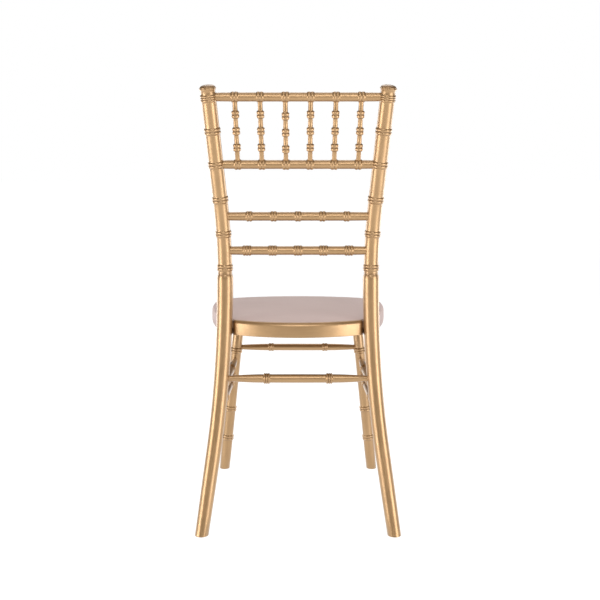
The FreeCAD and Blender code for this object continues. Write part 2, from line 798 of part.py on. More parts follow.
# Each level of the pad: its height and how far it draws in from the full plan. The
# edge turns over through shares of its rounding, and the crown rises fastest near it
pad_top = rail_top + size.pad_thickness
edge = size.pad_edge_rounding
TURN_FALL = 0.3
TURN_INSET = 0.4
TURN_END = 1.2
CROWN_EARLY_RISE = 0.55
CROWN_EARLY_INSET = 0.4
PAD_LEVELS = [
    (size.seat_bottom_height, size.pad_hem_inset),
    (size.seat_bottom_height + size.pad_hem_rise, ZERO),
    (pad_top - edge, size.pad_hem_inset * TURN_INSET),
    (pad_top - edge * TURN_FALL, edge * TURN_INSET),
    (pad_top, edge * TURN_END),
    (pad_top + size.pad_crown * CROWN_EARLY_RISE, size.pad_crown_reach * CROWN_EARLY_INSET),
    (pad_top + size.pad_crown, size.pad_crown_reach),
]
cushion = doc.addObject("PartDesign::Body", "seat_pad_stock")
levels = [
    seat_plan(cushion, f"seat_pad_level_{number}", inset, pad_rear - inset, pad_radius - inset, height)
    for number, (height, inset) in enumerate(PAD_LEVELS)
]
swell = cushion.newObject("PartDesign::AdditiveLoft", "seat_pad_loft")
swell.Profile = (levels[0], [""])
swell.Sections = [(level, [""]) for level in levels[1:]]
swell.Ruled = True
hollow = slab(
    "seat_pad_hollow",
    wood_inset,
    rear_middle + size.rear_rail_width,
    size.rear_rail_radius,
    size.seat_bottom_height - size.pad_hem_rise,
    rail_top,
)


def pad_rebate(name):
    gap = size.pad_gap
    top = seat_top_height + size.pad_thickness
    return slab(name, ZERO, pad_rear + gap, pad_radius + gap, rail_top, top)


# What stands in the frame's way at each post: a round cope along the post
seat_slope = math.radians(along_post(seat_middle_height)[1].value)
splay = math.radians(size.post_splay_angle.value)
post_direction = Vector(
    math.sin(seat_slope) * math.sin(splay),
    math.sin(seat_slope) * math.cos(splay),
    math.cos(seat_slope),
)


def cope(name, side):
    reach = seat_top_height - size.seat_bottom_height
    middle = on_post(seat_middle_height)
    start = middle - post_direction * reach.value
    direction = Vector(post_direction)
    if side < 0:
        start = opposite(start)
        direction = opposite(direction)
    return bore(name, start, direction, size.post_seat_diameter + size.cope_gap * 2, reach * 2)


cut("seat_pad", cushion, [hollow, cope("seat_pad_cope_left", 1), cope("seat_pad_cope_right", -1)])
rear_lipped = cut("seat_rail_rear_lipped", rear_stock, [pad_rebate("rear_pad_rebate")])
cut("seat_rail_rear", rear_lipped, [panel_rebate("rear_panel_rebate")])

# Side rails
side_end_y = line - size.rear_tenon_setback - size.rear_tenon_thickness / 2 - size.rear_tenon_clearance
side_end = side_point(wood_inset, side_end_y)
beside_rear = rear_end + size.pad_gap
facing_radius = rear_inner_radius - size.pad_gap
side_stock = doc.addObject("PartDesign::Body", "seat_rail_left_stock")
plan = new_sketch(side_stock, "seat_rail_left_plan", "XY_Plane", lift=size.seat_bottom_height)
outline(
    plan,
    [
        (joint_outer, side_centre, seat_side_radius - wood_inset, 1),
        (side_end,),
        ((beside_rear, side_end_y),),
        (rear_point(facing_radius, beside_rear),),
        (rear_point(facing_radius, side_end[0] - size.seat_rail_width),),
        (joint_inner,),
    ],
)
pad_up(side_stock, "seat_rail_left", plan, rail_rise)

side_coped = cut("seat_rail_left_coped", side_stock, [cope("side_cope", 1)])
side_left = cut("seat_rail_left", side_coped, [panel_rebate("side_panel_rebate")])
mirrored("seat_rail_right", side_left)

# Front legs: straight turnings that splay out and forward, sawn level at the floor and
# under the seat, with a round tenon up into the front rail's corner
leg_foot = on_leg(ZERO)
leg_top = on_leg(size.seat_bottom_height)
leg_run = size.leg_foot_half_spacing - size.leg_top_half_spacing
leg_rake = size.leg_foot_reach - size.leg_top_reach
leg_rise = size.seat_bottom_height
leg_length = root(leg_run * leg_run + leg_rake * leg_rake + leg_rise * leg_rise)
leg_slant = leg_length / leg_rise
leg_up = (leg_top - leg_foot).normalize()
spare = size.leg_diameter
leg_line = [(-spare, size.leg_diameter), (leg_length + spare, size.leg_diameter)]
leg_stock = turned("front_leg_left_stock", leg_line)
leg_land = (size.leg_ring_diameter, size.post_ring_lip, size.leg_ring_flare)
leg_ring = ring_form(size.leg_diameter, *leg_land)
leg_ring_first = size.leg_ring_first * leg_slant
rings(leg_stock, leg_ring, leg_ring_first, size.leg_ring_spacing * leg_slant, LEG_RINGS)
aim(leg_stock, leg_foot, leg_up)
leg_cut = saw("front_leg_left_foot", leg_stock, leg_foot, -spare * 2, ZERO)
above = size.seat_bottom_height + spare * 2
leg_sawn = saw("front_leg_left_head", leg_cut, leg_top, size.seat_bottom_height, above)
tenon_start = leg_top - leg_up * size.leg_tenon_root.value
tenon_length = size.leg_tenon_root + size.leg_tenon
leg_tenon = bore("front_leg_left_tenon", tenon_start, leg_up, size.leg_tenon_diameter, tenon_length)
leg_whole = doc.addObject("Part::Fuse", "front_leg_left_tenoned")
leg_whole.Base = leg_sawn
leg_whole.Tool = leg_tenon
INWARD = Vector(-1, 0, 0)
stretcher_end = size.stretcher_end_diameter
leg_holes = [end_hole("front_stretcher_hole", on_leg(cross), INWARD, leg_inset, stretcher_end)]
for name, height in side_heights.items():
    spot = on_leg(height)
    rearward = (on_post(height) - spot).normalize()
    leg_holes.append(end_hole(f"leg_{name}_side_hole", spot, rearward, leg_inset, stretcher_end))
leg_left = cut("front_leg_left", leg_whole, leg_holes)
mirrored("front_leg_right", leg_left)


def leg_socket(name, side):
    """The hole in the front rail for a leg's tenon, open below."""
    start, direction = tenon_start, Vector(leg_up)
    if side < 0:
        start, direction = opposite(start), opposite(direction)
    return bore(name, start, direction, size.leg_tenon_diameter + size.fit * 2, tenon_length + size.fit)


front_tools = [
    leg_socket("leg_socket_left", 1),
    leg_socket("leg_socket_right", -1),
]
front_bored = cut("seat_rail_front_bored", front_rail, front_tools)
cut("seat_rail_front", front_bored, [panel_rebate("front_panel_rebate")])

# Rear posts: round stock bent in two arcs that meet upright at the waist, straight beyond
# them, with the shoulder, the rings and the cap turned on it
def bend(body, name, radius, angle, diameter, downward):
    """Bend the stock away from the waist about a centre level with it."""
    sketch = new_sketch(body, f"{name}_section", "XY_Plane", lift=size.post_waist_height)
    sketch.addGeometry(Part.Circle(Vector(0, 0, 0), UP, diameter.value / 2), False)
    sketch.addConstraint(Sketcher.Constraint("Coincident", 0, 3, -1, 1))
    bind(sketch, Sketcher.Constraint("Diameter", 0, diameter.value), diameter)
    half = diameter / 2
    sketch.addGeometry(Part.LineSegment(flat((radius, -half)), flat((radius, half))), True)
    pin(sketch, 1, 1, (radius, -half))
    pin(sketch, 1, 2, (radius, half))
    arc = body.newObject("PartDesign::Revolution", name)
    arc.Profile = sketch
    arc.ReferenceAxis = (sketch, ["Axis0"])
    arc.Reversed = downward
    arc.setExpression("Angle", angle.text)


def post_turning(body, name, height, steps):
    """Turn a form about the bent line, square to it at a height."""
    back, slope = along_post(height)
    sketch = new_sketch(body, f"{name}_profile", "XZ_Plane", x=back, y=height)
    sketch.setExpression("AttachmentOffset.Rotation.Angle", (-slope).text)
    outline(sketch, steps)
    return revolve(body, name, sketch)


post = doc.addObject("PartDesign::Body", "rear_post_left_stock")
neck = size.post_neck_diameter / 2
lean_end = size.post_waist_height + size.post_lean_radius * sine(size.post_lean_angle)
kick_end = size.post_waist_height - size.post_kick_radius * sine(size.post_kick_angle)
cap_foot = size.overall_height - (size.cap_height - size.cap_crown_drop) * cosine(size.post_lean_angle)
cap_foot = cap_foot - size.cap_crown_diameter / 2 * sine(size.post_lean_angle)
top_length = (cap_foot - lean_end) / cosine(size.post_lean_angle)
foot_length = kick_end / cosine(size.post_kick_angle)
spare_foot = foot_length + size.post_foot_diameter
bend(post, "post_lean", size.post_lean_radius, size.post_lean_angle, size.post_neck_diameter, False)
bend(post, "post_kick", size.post_kick_radius, size.post_kick_angle, size.post_seat_diameter, True)
top_line = [(ZERO, ZERO), (neck, ZERO), (neck, top_length), (ZERO, top_length)]
post_turning(post, "post_top", lean_end, straight(top_line))
ankle = size.post_seat_diameter / 2
foot_end = sole - (ankle - sole) * (spare_foot - foot_length) / foot_length
foot_line = [(ZERO, -spare_foot), (foot_end, -spare_foot), (ankle, ZERO), (ZERO, ZERO)]
post_turning(post, "post_foot", kick_end, straight(foot_line))
shoulder = size.post_shoulder_diameter / 2
fall = size.shoulder_height
inside = neck - size.post_ring_sink
shoulder_form = [(ZERO, -fall * 2), (inside, -fall * 2), (shoulder, ZERO), (inside, fall), (ZERO, fall)]
post_turning(post, "post_shoulder", size.post_waist_height, straight(shoulder_form))
post_land = (size.post_ring_diameter, size.post_ring_lip, size.post_ring_flare)
post_ring = ring_form(inside * 2, *post_land)
middle_ring = (top_rail_height + spindle_rail_height) / 2
ring_heights = [top_rail_height - size.top_ring_drop, middle_ring]
for step in range(POST_LOW_RINGS):
    ring_heights.append(spindle_rail_height - size.post_ring_spacing * step)
for number, height in enumerate(ring_heights, start=1):
    post_turning(post, f"post_ring_{number}", height, ring_steps(post_ring))

# The cap is a bell with a low dome
rim = size.cap_rim_diameter / 2
waist = size.cap_waist_diameter / 2
cap = [
    (ZERO, -size.cap_waist_rise),
    (waist, -size.cap_waist_rise),
    (waist, size.cap_waist_rise),
    (rim, size.cap_rim_rise),
    (rim, size.cap_rim_rise + size.cap_rim_thickness),
    (size.cap_crown_diameter / 2, size.cap_height - size.cap_crown_drop),
    (size.cap_tip_diameter / 2, size.cap_height),
    (ZERO, size.cap_height),
]
post_turning(post, "post_cap", cap_foot, straight(cap))
turn = FreeCAD.Rotation(UP, 90 - size.post_splay_angle.value)
post.Placement = FreeCAD.Placement(Vector(size.post_waist_half_spacing.value, post_line, 0), turn)
post_sawn = saw("rear_post_left_sawn", post, on_post(ZERO), -size.post_foot_diameter * 2, ZERO)
post_holes = [tenon_block("rear_tenon_slot", 1, size.fit)]
rail_heights = {
    "top_rail": top_rail_height,
    "spindle_rail": spindle_rail_height,
    "upper_slat": upper_slat_height,
    "lower_slat": lower_slat_height,
}
for name, height in rail_heights.items():
    spot = on_post(height)
    post_holes.append(end_hole(f"{name}_hole", spot, INWARD, post_inset, size.rail_diameter))
post_holes.append(end_hole("rear_stretcher_hole", on_post(cross), INWARD, post_inset, stretcher_end))
for name, height in side_heights.items():
    spot = on_post(height)
    forward = (on_leg(height) - spot).normalize()
    post_holes.append(end_hole(f"post_{name}_side_hole", spot, forward, leg_inset, stretcher_end))
post_left = cut("rear_post_left", post_sawn, post_holes)
mirrored("rear_post_right", post_left)

# Check and write every piece
PIECES = [
    "rear_post_left",
    "rear_post_right",
    "front_leg_left",
    "front_leg_right",
    "top_rail",
    "spindle_rail",
    "upper_slat",
    "lower_slat",
    "front_stretcher",
    "rear_stretcher",
    "seat_rail_front",
    "seat_rail_rear",
    "seat_rail_left",
    "seat_rail_right",
    "seat_panel",
    "seat_pad",
]
PIECES += [f"spindle_{number}" for number in range(1, SPINDLES + 1)]
PIECES += [f"side_stretcher_{name}_{side}" for name in side_heights for side in ("left", "right")]

doc.recompute()
failed = [thing.Name for thing in doc.Objects if {"Invalid", "Error"} & set(thing.State)]
if failed:
    raise RuntimeError(f"these did not build: {failed}")
os.makedirs("parts", exist_ok=True)
finished = []
for label in PIECES:
    piece = doc.getObjectsByLabel(label)[0]
    if piece.Shape.isNull() or not piece.Shape.isValid():
        raise RuntimeError(f"{label} has no valid shape")
    finished.append((label, piece.Shape))
for label, shape in finished:
    shape.exportStep(os.path.join("parts", f"{label}.step"))
    print(f"{label}: {len(shape.Solids)} solid, {shape.Volume / 1000:.1f} cubic centimetres")
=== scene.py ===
import math

import bmesh
import bpy
from mathutils import Matrix, Vector


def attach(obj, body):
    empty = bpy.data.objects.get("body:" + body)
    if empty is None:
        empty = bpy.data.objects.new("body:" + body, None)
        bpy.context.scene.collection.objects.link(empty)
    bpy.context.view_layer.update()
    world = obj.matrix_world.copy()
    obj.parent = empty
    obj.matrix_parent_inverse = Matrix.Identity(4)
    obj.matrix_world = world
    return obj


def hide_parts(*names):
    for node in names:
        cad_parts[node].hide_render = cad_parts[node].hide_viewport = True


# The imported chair. Its sizes are written in millimetres, which MM makes a mesh's metres.
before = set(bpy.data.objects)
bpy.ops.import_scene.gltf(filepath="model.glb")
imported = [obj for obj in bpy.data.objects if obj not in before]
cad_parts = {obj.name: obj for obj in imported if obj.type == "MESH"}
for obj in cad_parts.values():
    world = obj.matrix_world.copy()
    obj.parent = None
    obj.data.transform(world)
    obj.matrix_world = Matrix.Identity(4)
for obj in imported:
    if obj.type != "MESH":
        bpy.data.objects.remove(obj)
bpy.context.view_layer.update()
MM = 0.001

# Gold lacquer
# Every turned and bent piece is beech under a sprayed satin gold lacquer, faintly streaked
# along the grain, with painted shade darkening it in grooves, hollows, on the caps and at the rear rail's
# ends.
GOLD = (0.485, 0.294, 0.128, 1)
# Deep gold, for the grain's streaks and for the painted shade in grooves and hollows
GOLD_GRAIN_AND_SHADE = (0.17, 0.075, 0.022, 1)
GOLD_PALE = (0.54, 0.330, 0.155, 1)
# Scale, detail and roughness of each noise
STREAKS = (26, 5, 0.6)
CLOUDS = (16, 3, 0.5)
ORANGE_PEEL = (900, 2, 0.5)
CLOUD_RANGE = (0.3, 0.7)
CLOUD_SHARE = 0.55
STREAK_RANGE = (0.35, 0.75)
STREAK_SHARE = 0.22
# How far the painted groove shade darkens the colour
GROOVE_SHADE_SHARE = 0.7
SATIN = (0.37, 0.43)
GROOVE_MATTNESS = 0.15
PEEL_HEIGHT = 0.2
GRAIN_HEIGHT = 0.5
LACQUER_RELIEF = 0.2 * MM
LACQUER_BUMP = 0.1
METAL_FLAKE = 0.8
COAT_ROUGHNESS = 0.34
GRAIN_ALONG = 0.25
GRAIN_ACROSS = 4


def group_of(name, inputs, outputs):
    """An empty shader group with its sockets."""
    tree = bpy.data.node_groups.new(name, "ShaderNodeTree")
    for label, kind in inputs.items():
        tree.interface.new_socket(name=label, in_out="INPUT", socket_type=kind)
    for label, kind in outputs.items():
        tree.interface.new_socket(name=label, in_out="OUTPUT", socket_type=kind)
    return tree, tree.nodes.new("NodeGroupInput"), tree.nodes.new("NodeGroupOutput")


def noise(tree, vector, scale, detail, rough):
    node = tree.nodes.new("ShaderNodeTexNoise")
    node.inputs["Scale"].default_value = scale
    node.inputs["Detail"].default_value = detail
    node.inputs["Roughness"].default_value = rough
    tree.links.new(vector, node.inputs["Vector"])
    return node.outputs["Fac"]


def span(tree, value, source, target):
    """Carry a value over from one range to another."""
    node = tree.nodes.new("ShaderNodeMapRange")
    for label, number in zip(("From Min", "From Max", "To Min", "To Max"), (*source, *target)):
        node.inputs[label].default_value = number
    tree.links.new(value, node.inputs["Value"])
    return node.outputs["Result"]


def maths(tree, operation, *values):
    """One sum on sockets and plain numbers."""
    node = tree.nodes.new("ShaderNodeMath")
    node.operation = operation
    for socket, value in zip(node.inputs, values):
        if isinstance(value, (int, float)):
            socket.default_value = value
        else:
            tree.links.new(value, socket)
    return node.outputs[0]


def blend_colour(tree, factor, first, second):
    """Mix two colours, each a constant or a socket."""
    node = tree.nodes.new("ShaderNodeMix")
    node.data_type = "RGBA"
    tree.links.new(factor, node.inputs["Factor"])
    colour_inputs = [socket for socket in node.inputs if socket.type == "RGBA"]
    for socket, colour in zip(colour_inputs, (first, second)):
        if isinstance(colour, tuple):
            socket.default_value = colour
        else:
            tree.links.new(colour, socket)
    return next(socket for socket in node.outputs if socket.type == "RGBA")


def lacquer_group():
    """Colour, roughness and height of the lacquer, from plain and streaked coordinates."""
    inputs = {"Streaked": "NodeSocketVector", "Plain": "NodeSocketVector", "Groove_shade": "NodeSocketFloat"}
    outputs = {"Color": "NodeSocketColor", "Roughness": "NodeSocketFloat", "Height": "NodeSocketFloat"}
    tree, source, sink = group_of("Gold lacquer", inputs, outputs)
    groove = source.outputs["Groove_shade"]
    streaks = noise(tree, source.outputs["Streaked"], *STREAKS)
    clouds = noise(tree, source.outputs["Plain"], *CLOUDS)
    peel = noise(tree, source.outputs["Plain"], *ORANGE_PEEL)
    tinted = blend_colour(tree, span(tree, clouds, CLOUD_RANGE, (0, CLOUD_SHARE)), GOLD, GOLD_PALE)
    grained = blend_colour(tree, span(tree, streaks, STREAK_RANGE, (0, STREAK_SHARE)), tinted, GOLD_GRAIN_AND_SHADE)
    # Painted shade: the groove shade mask darkens the colour toward the deep gold
    shaded = blend_colour(tree, maths(tree, "MULTIPLY", groove, GROOVE_SHADE_SHARE), grained, GOLD_GRAIN_AND_SHADE)
    tree.links.new(shaded, sink.inputs["Color"])
    matt = maths(tree, "MULTIPLY", groove, GROOVE_MATTNESS)
    rough = maths(tree, "ADD", span(tree, clouds, CLOUD_RANGE, SATIN), matt)
    tree.links.new(rough, sink.inputs["Roughness"])
    skin = maths(tree, "MULTIPLY", peel, PEEL_HEIGHT)
    height = maths(tree, "ADD", skin, maths(tree, "MULTIPLY", streaks, GRAIN_HEIGHT))
    tree.links.new(height, sink.inputs["Height"])
    return tree


LACQUER = lacquer_group()


def new_material(name):
    made = bpy.data.materials.new(name)
    made.use_nodes = True
    return made, made.node_tree, made.node_tree.nodes["Principled BSDF"]


def bumped(tree, shader, height, strength, distance):
    bump = tree.nodes.new("ShaderNodeBump")
    bump.inputs["Strength"].default_value = strength
    bump.inputs["Distance"].default_value = distance
    tree.links.new(height, bump.inputs["Height"])
    tree.links.new(bump.outputs["Normal"], shader.inputs["Normal"])


def object_place(tree):
    return tree.nodes.new("ShaderNodeTexCoord").outputs["Object"]


def stretched(tree, place, scale):
    """Coordinates drawn out along the axis with the smallest scale."""
    mapping = tree.nodes.new("ShaderNodeMapping")
    mapping.inputs["Scale"].default_value = scale
    tree.links.new(place, mapping.inputs["Vector"])
    return mapping.outputs["Vector"]


def gold(name, long_axis):
    """Gold lacquer on a piece whose grain runs along one axis."""
    made, tree, shader = new_material(name)
    grain = [GRAIN_ACROSS, GRAIN_ACROSS, GRAIN_ACROSS]
    grain["XYZ".index(long_axis)] = GRAIN_ALONG
    place = object_place(tree)
    lacquer = tree.nodes.new("ShaderNodeGroup")
    lacquer.node_tree = LACQUER
    # Painted shade from 0 to 1, stored on the meshes in the groove attribute
    groove = tree.nodes.new("ShaderNodeAttribute")
    groove.attribute_name = "groove"
    tree.links.new(place, lacquer.inputs["Plain"])
    tree.links.new(stretched(tree, place, grain), lacquer.inputs["Streaked"])
    tree.links.new(groove.outputs["Fac"], lacquer.inputs["Groove_shade"])
    tree.links.new(lacquer.outputs["Color"], shader.inputs["Base Color"])
    tree.links.new(lacquer.outputs["Roughness"], shader.inputs["Roughness"])
    bumped(tree, shader, lacquer.outputs["Height"], LACQUER_BUMP, LACQUER_RELIEF)
    shader.inputs["Metallic"].default_value = METAL_FLAKE
    shader.inputs["Coat Weight"].default_value = 1
    shader.inputs["Coat Roughness"].default_value = COAT_ROUGHNESS
    return made


GOLD_UPRIGHT = gold("gold_upright", "Z")
GOLD_ACROSS = gold("gold_across", "X")
GOLD_FORE_AFT = gold("gold_fore_aft", "Y")

# Rear posts
# Each is one steam-bent beech pole from the floor to its bell cap: upright at the waist,
# leaning back above it and kicking back below, with turned rings and a full shoulder.
POST_LINE = 131.63
OVERALL_HEIGHT = 920
WAIST_HEIGHT = 530
WAIST_HALF_SPACING = 153.6
SPLAY = math.radians(23.1)
LEAN = math.radians(12.65)
LEAN_RADIUS = 690
KICK = math.radians(19.2)
KICK_RADIUS = 1150
POST_SIDES = 64
SAWN_EDGE = 0.8
SHARP_ANGLE = math.radians(50)


def bent_reach(rise, radius, angle):
    """Distance along the bend to a height above or below the waist."""
    arc_rise = radius * math.sin(angle)
    if rise < arc_rise:
        return radius * math.asin(rise / radius)
    return radius * angle + (rise - arc_rise) / math.cos(angle)


def post_distance(height):
    """Distance along a post from its waist to a height, negative below."""
    if height >= WAIST_HEIGHT:
        return bent_reach(height - WAIST_HEIGHT, LEAN_RADIUS, LEAN)
    return -bent_reach(WAIST_HEIGHT - height, KICK_RADIUS, KICK)


def post_path(distance):
    """Middle of the left post, its direction and the normal of its bend, at a distance."""
    radius, limit = (LEAN_RADIUS, LEAN) if distance >= 0 else (KICK_RADIUS, KICK)
    length = abs(distance)
    angle = min(length / radius, limit)
    beyond = max(0, length - radius * limit)
    back = radius * (1 - math.cos(angle)) + beyond * math.sin(angle)
    rise = radius * math.sin(angle) + beyond * math.cos(angle)
    sign = 1 if distance >= 0 else -1
    outward = Vector((math.sin(SPLAY), math.cos(SPLAY), 0))
    point = Vector((WAIST_HALF_SPACING, POST_LINE, WAIST_HEIGHT + sign * rise)) + outward * back
    direction = Vector((0, 0, math.cos(angle))) + outward * math.sin(angle) * sign
    return point, direction, Vector((math.cos(SPLAY), -math.sin(SPLAY), 0))


def post_middle(height):
    return post_path(post_distance(height))[0]


def straight_path(start, finish):
    """The same three for a piece on a straight line."""
    direction = (finish - start).normalized()
    aside = direction.orthogonal().normalized()
    return lambda distance: (start + direction * distance, direction, aside)


def between(first, last, count):
    """Places at even steps from the first, which is left out, to the last."""
    return [first + (last - first) * step / count for step in range(1, count + 1)]


RING_FLARE = 1.8
FLARE_STEPS = 5
FLARE_SWEEP = 2.2
RING_SHOULDER = 0.3
LIP_STEPS = 4
LIP_ROUNDING = 2.4
LIP_GAP = 0.15
OUTER_LIP_STEP = 0.2
OUTER_LIP_SHADE = 0.5
GROOVE_SHADE_SHARPNESS = 8


def bell(start, finish, low, high):
    """A flare that sweeps up from the shaft at start to a radius at finish."""
    made = [(start, low, 0)]
    for share in between(0, 1, FLARE_STEPS):
        made.append((start + (finish - start) * share, low + (high - low) * share**FLARE_SWEEP, 0))
    return made


def ring_reach(lips):
    """Middle of a ring to the end of its flare."""
    return lips[-1] + (lips[1] - lips[0]) / 2 + RING_FLARE


def ring(middle, shaft, crest, lips, depth, shade=1.0):
    """A turned ring: rounded lips at some distances from its middle with grooves of one
    depth between, and a small bell flare each side that stands a little below them."""
    half = (lips[1] - lips[0]) / 2
    shoulder = shaft + (crest - shaft) * RING_SHOULDER
    reach = ring_reach(lips)
    made = bell(middle - reach, middle - reach + RING_FLARE, shaft, shoulder)
    for place in lips:
        for step in range(-LIP_STEPS, LIP_STEPS + 1):
            lean = step / LIP_STEPS
            inner = abs(place + lean * half) < lips[-1]
            fall = depth if inner else crest - shoulder - OUTER_LIP_STEP
            radius = crest - fall * abs(lean) ** LIP_ROUNDING
            # Painted shade gathers at each lip's edges, in the grooves, and less at the outer edges
            groove = shade * lean**GROOVE_SHADE_SHARPNESS * (1 if inner else OUTER_LIP_SHADE)
            made.append((middle + place + lean * (half - LIP_GAP), radius, groove))
    made += reversed(bell(middle + reach, middle + reach - RING_FLARE, shaft, shoulder))
    return made


def closed_tube(work, rows):
    """Faces between neighbouring rows of vertices, and one across each end."""
    for first, second in zip(rows, rows[1:]):
        for index in range(len(first)):
            following = (index + 1) % len(first)
            work.faces.new((first[index], first[following], second[following], second[index]))
    work.faces.new(list(reversed(rows[0])))
    work.faces.new(rows[-1])


def finished(work, name, sharp_angle, flat_ends=False):
    """The object of a mesh in work: faces outward, smooth but for the edges past an angle
    and, on turned pieces, the flat ends."""
    bmesh.ops.recalc_face_normals(work, faces=work.faces)
    for face in work.faces:
        face.smooth = not flat_ends or len(face.verts) == 4
    mesh = bpy.data.meshes.new(name)
    work.to_mesh(mesh)
    work.free()
    mesh.set_sharp_from_angle(angle=sharp_angle)
    made = bpy.data.objects.new(name, mesh)
    bpy.context.scene.collection.objects.link(made)
    return made


def lathe(name, path, stations, sides, cuts=(None, None)):
    """A closed turned mesh along a path. Stations are distance, radius and painted groove shade
    from 0 to 1. A cut is the height at which the first or last two rings are sawn level."""
    work = bmesh.new()
    shade = work.verts.layers.float.new("groove")
    rows = []
    last = len(stations) - 1
    for index, (distance, radius, groove) in enumerate(stations):
        point, direction, aside = path(distance)
        other = direction.cross(aside)
        cut = cuts[0] if index < 2 else cuts[1] if index > last - 2 else None
        row = []
        for side in range(sides):
            turn = 2 * math.pi * side / sides
            spot = point + (aside * math.cos(turn) + other * math.sin(turn)) * radius
            if cut is not None:
                inward = 0 if index in (0, last) else SAWN_EDGE if index == 1 else -SAWN_EDGE
                spot += direction * (cut + inward - spot.z) / direction.z
            vertex = work.verts.new(spot * MM)
            vertex[shade] = groove
            row.append(vertex)
        rows.append(row)
    closed_tube(work, rows)
    return finished(work, name, SHARP_ANGLE, flat_ends=True)


def opposite(piece, name):
    """The same piece on the chair's other side."""
    made = bpy.data.objects.new(name, piece.data.copy())
    made.data.transform(Matrix.Scale(-1, 4, (1, 0, 0)))
    made.data.flip_normals()
    bpy.context.scene.collection.objects.link(made)
    return made


def dress(piece, material, nodes):
    """Give a finished piece its material, its body and the nodes it stands for."""
    piece.data.materials.clear()
    piece.data.materials.append(material)
    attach(piece, "root")
    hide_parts(*nodes)


FOOT = 14
FOOT_STEPS = 4
ANKLE = 15.5
ANKLE_UP_TO = 230
SHOULDER = 17.1
SHOULDER_DOWN_TO = 480
POST_STEPS = 24
SHOULDER_FALL = 9
SHOULDER_RISE = 2
SHOULDER_ROUNDING = 0.8
SHOULDER_STEPS = 10
NECK = 15.1
# Painted shade in the hollow above the shoulder
NECK_SHADE = 0.6
NECK_SHADE_SWEEP = 4
# The hollow above the shoulder: distance from the waist, depth and shade
NECK_HOLLOW = [(3, 0.1, NECK_SHADE), (5, 0, 0.5), (7.5, 0, 0.1)]
TOP_RAIL_HEIGHT = 895
SPINDLE_RAIL_HEIGHT = 761
RING_CREST = 16.9
POST_RING_SPACING = 71.7
POST_LOW_RINGS = 4
POST_LIPS = (-3.1, 3.1)
POST_GROOVE = 1.1
POLE_STEPS = 6
TRIPLE_RING_DROP = 2
TRIPLE_LIPS = (-4.4, 0, 4.4)
TRIPLE_GROOVE = 0.9
CAP_TILT = 1.2
CAP_LENGTH = 15.8
CAP_NECK = 14.75
# Painted shade on the cap's neck, bell, rim and dome
CAP_NECK_SHADES = (0.35, 0.3)
CAP_BELL_START = 14
CAP_BELL = 6
CAP_BELL_STEPS = 5
CAP_BELL_SWEEP = 1.8
CAP_BELL_SHADE = 0.15
CAP_RIM = 17.1
# The rim of the cap: height below the dome, radius less than the rim's, and shade
CAP_RIM_EDGE = [(1.2, 0, 0), (0.5, 0.4, 0), (0, 1.5, 0.25)]
CAP_DOME = 5.7
CAP_DOME_STEPS = 8
CAP_DOME_RADIUS = 15.2
CAP_DOME_ROUNDING = 0.9
CAP_DOME_SHADE = 0.5
CAP_TIP = 0.6


def post_below_neck():
    """From the sawn foot, up a slim ankle and past the seat to the shoulder."""
    foot = post_distance(0)
    kick_end = -KICK_RADIUS * KICK
    made = [(foot, FOOT - SAWN_EDGE, 0), (foot + SAWN_EDGE, FOOT, 0)]
    for share in between(0, 1, FOOT_STEPS):
        made.append((foot + (kick_end - foot) * share, FOOT + (ANKLE - FOOT) * share, 0))
    for distance in between(kick_end, -SHOULDER_FALL, POST_STEPS):
        share = (post_path(distance)[0].z - ANKLE_UP_TO) / (SHOULDER_DOWN_TO - ANKLE_UP_TO)
        made.append((distance, ANKLE + (SHOULDER - ANKLE) * min(1, max(0, share)), 0))
    for share in between(0, 1, SHOULDER_STEPS):
        distance = (SHOULDER_FALL + SHOULDER_RISE) * share - SHOULDER_FALL
        swell = math.sin((1 - share) * math.pi / 2) ** SHOULDER_ROUNDING
        made.append((distance, NECK + (SHOULDER - NECK) * swell, NECK_SHADE * share**NECK_SHADE_SWEEP))
    return made + [(distance, NECK - depth, shade) for distance, depth, shade in NECK_HOLLOW]


def post_rings():
    """Four rings from the neck to the spindle rail, one in the middle above it, and the
    triple ring at the top rail, with the plain pole between them."""
    heights = [SPINDLE_RAIL_HEIGHT - POST_RING_SPACING * step for step in reversed(range(POST_LOW_RINGS))]
    heights.append((TOP_RAIL_HEIGHT + SPINDLE_RAIL_HEIGHT) / 2)
    forms = [(height, POST_LIPS, POST_GROOVE) for height in heights]
    forms.append((TOP_RAIL_HEIGHT - TRIPLE_RING_DROP, TRIPLE_LIPS, TRIPLE_GROOVE))
    made = []
    for height, lips, groove in forms:
        middle = post_distance(height)
        if made:
            start = middle - ring_reach(lips)
            made += [(distance, NECK, 0) for distance in between(made[-1][0], start, POLE_STEPS)[:-1]]
        made += ring(middle, NECK, RING_CREST, lips, groove)
    return made


def post_cap():
    """A bell that flares to a thin rim under a low dome."""
    top = post_distance(OVERALL_HEIGHT) - CAP_TILT
    bell_start = top - CAP_BELL_START
    made = [(top - CAP_LENGTH, CAP_NECK, CAP_NECK_SHADES[0]), (bell_start, CAP_NECK, CAP_NECK_SHADES[1])]
    for share in between(0, 1, CAP_BELL_STEPS):
        radius = CAP_NECK + (CAP_RIM - CAP_NECK) * share**CAP_BELL_SWEEP
        made.append((bell_start + CAP_BELL * share, radius, CAP_BELL_SHADE * (1 - share)))
    dome_foot = top - CAP_DOME
    for below, less, shade in CAP_RIM_EDGE:
        made.append((dome_foot - below, CAP_RIM - less, shade))
    for turn in between(0, math.pi / 2, CAP_DOME_STEPS):
        radius = CAP_TIP + CAP_DOME_RADIUS * math.cos(turn) ** CAP_DOME_ROUNDING
        made.append((dome_foot + CAP_DOME * math.sin(turn), radius, CAP_DOME_SHADE))
    return made


post_stations = post_below_neck() + post_rings() + post_cap()
rear_post = lathe("rear_post_left_turned", post_path, post_stations, POST_SIDES, (0, None))
rear_post_twin = opposite(rear_post, "rear_post_right_turned")
dress(rear_post, GOLD_UPRIGHT, ["rear_post_left"])
dress(rear_post_twin, GOLD_UPRIGHT, ["rear_post_right"])

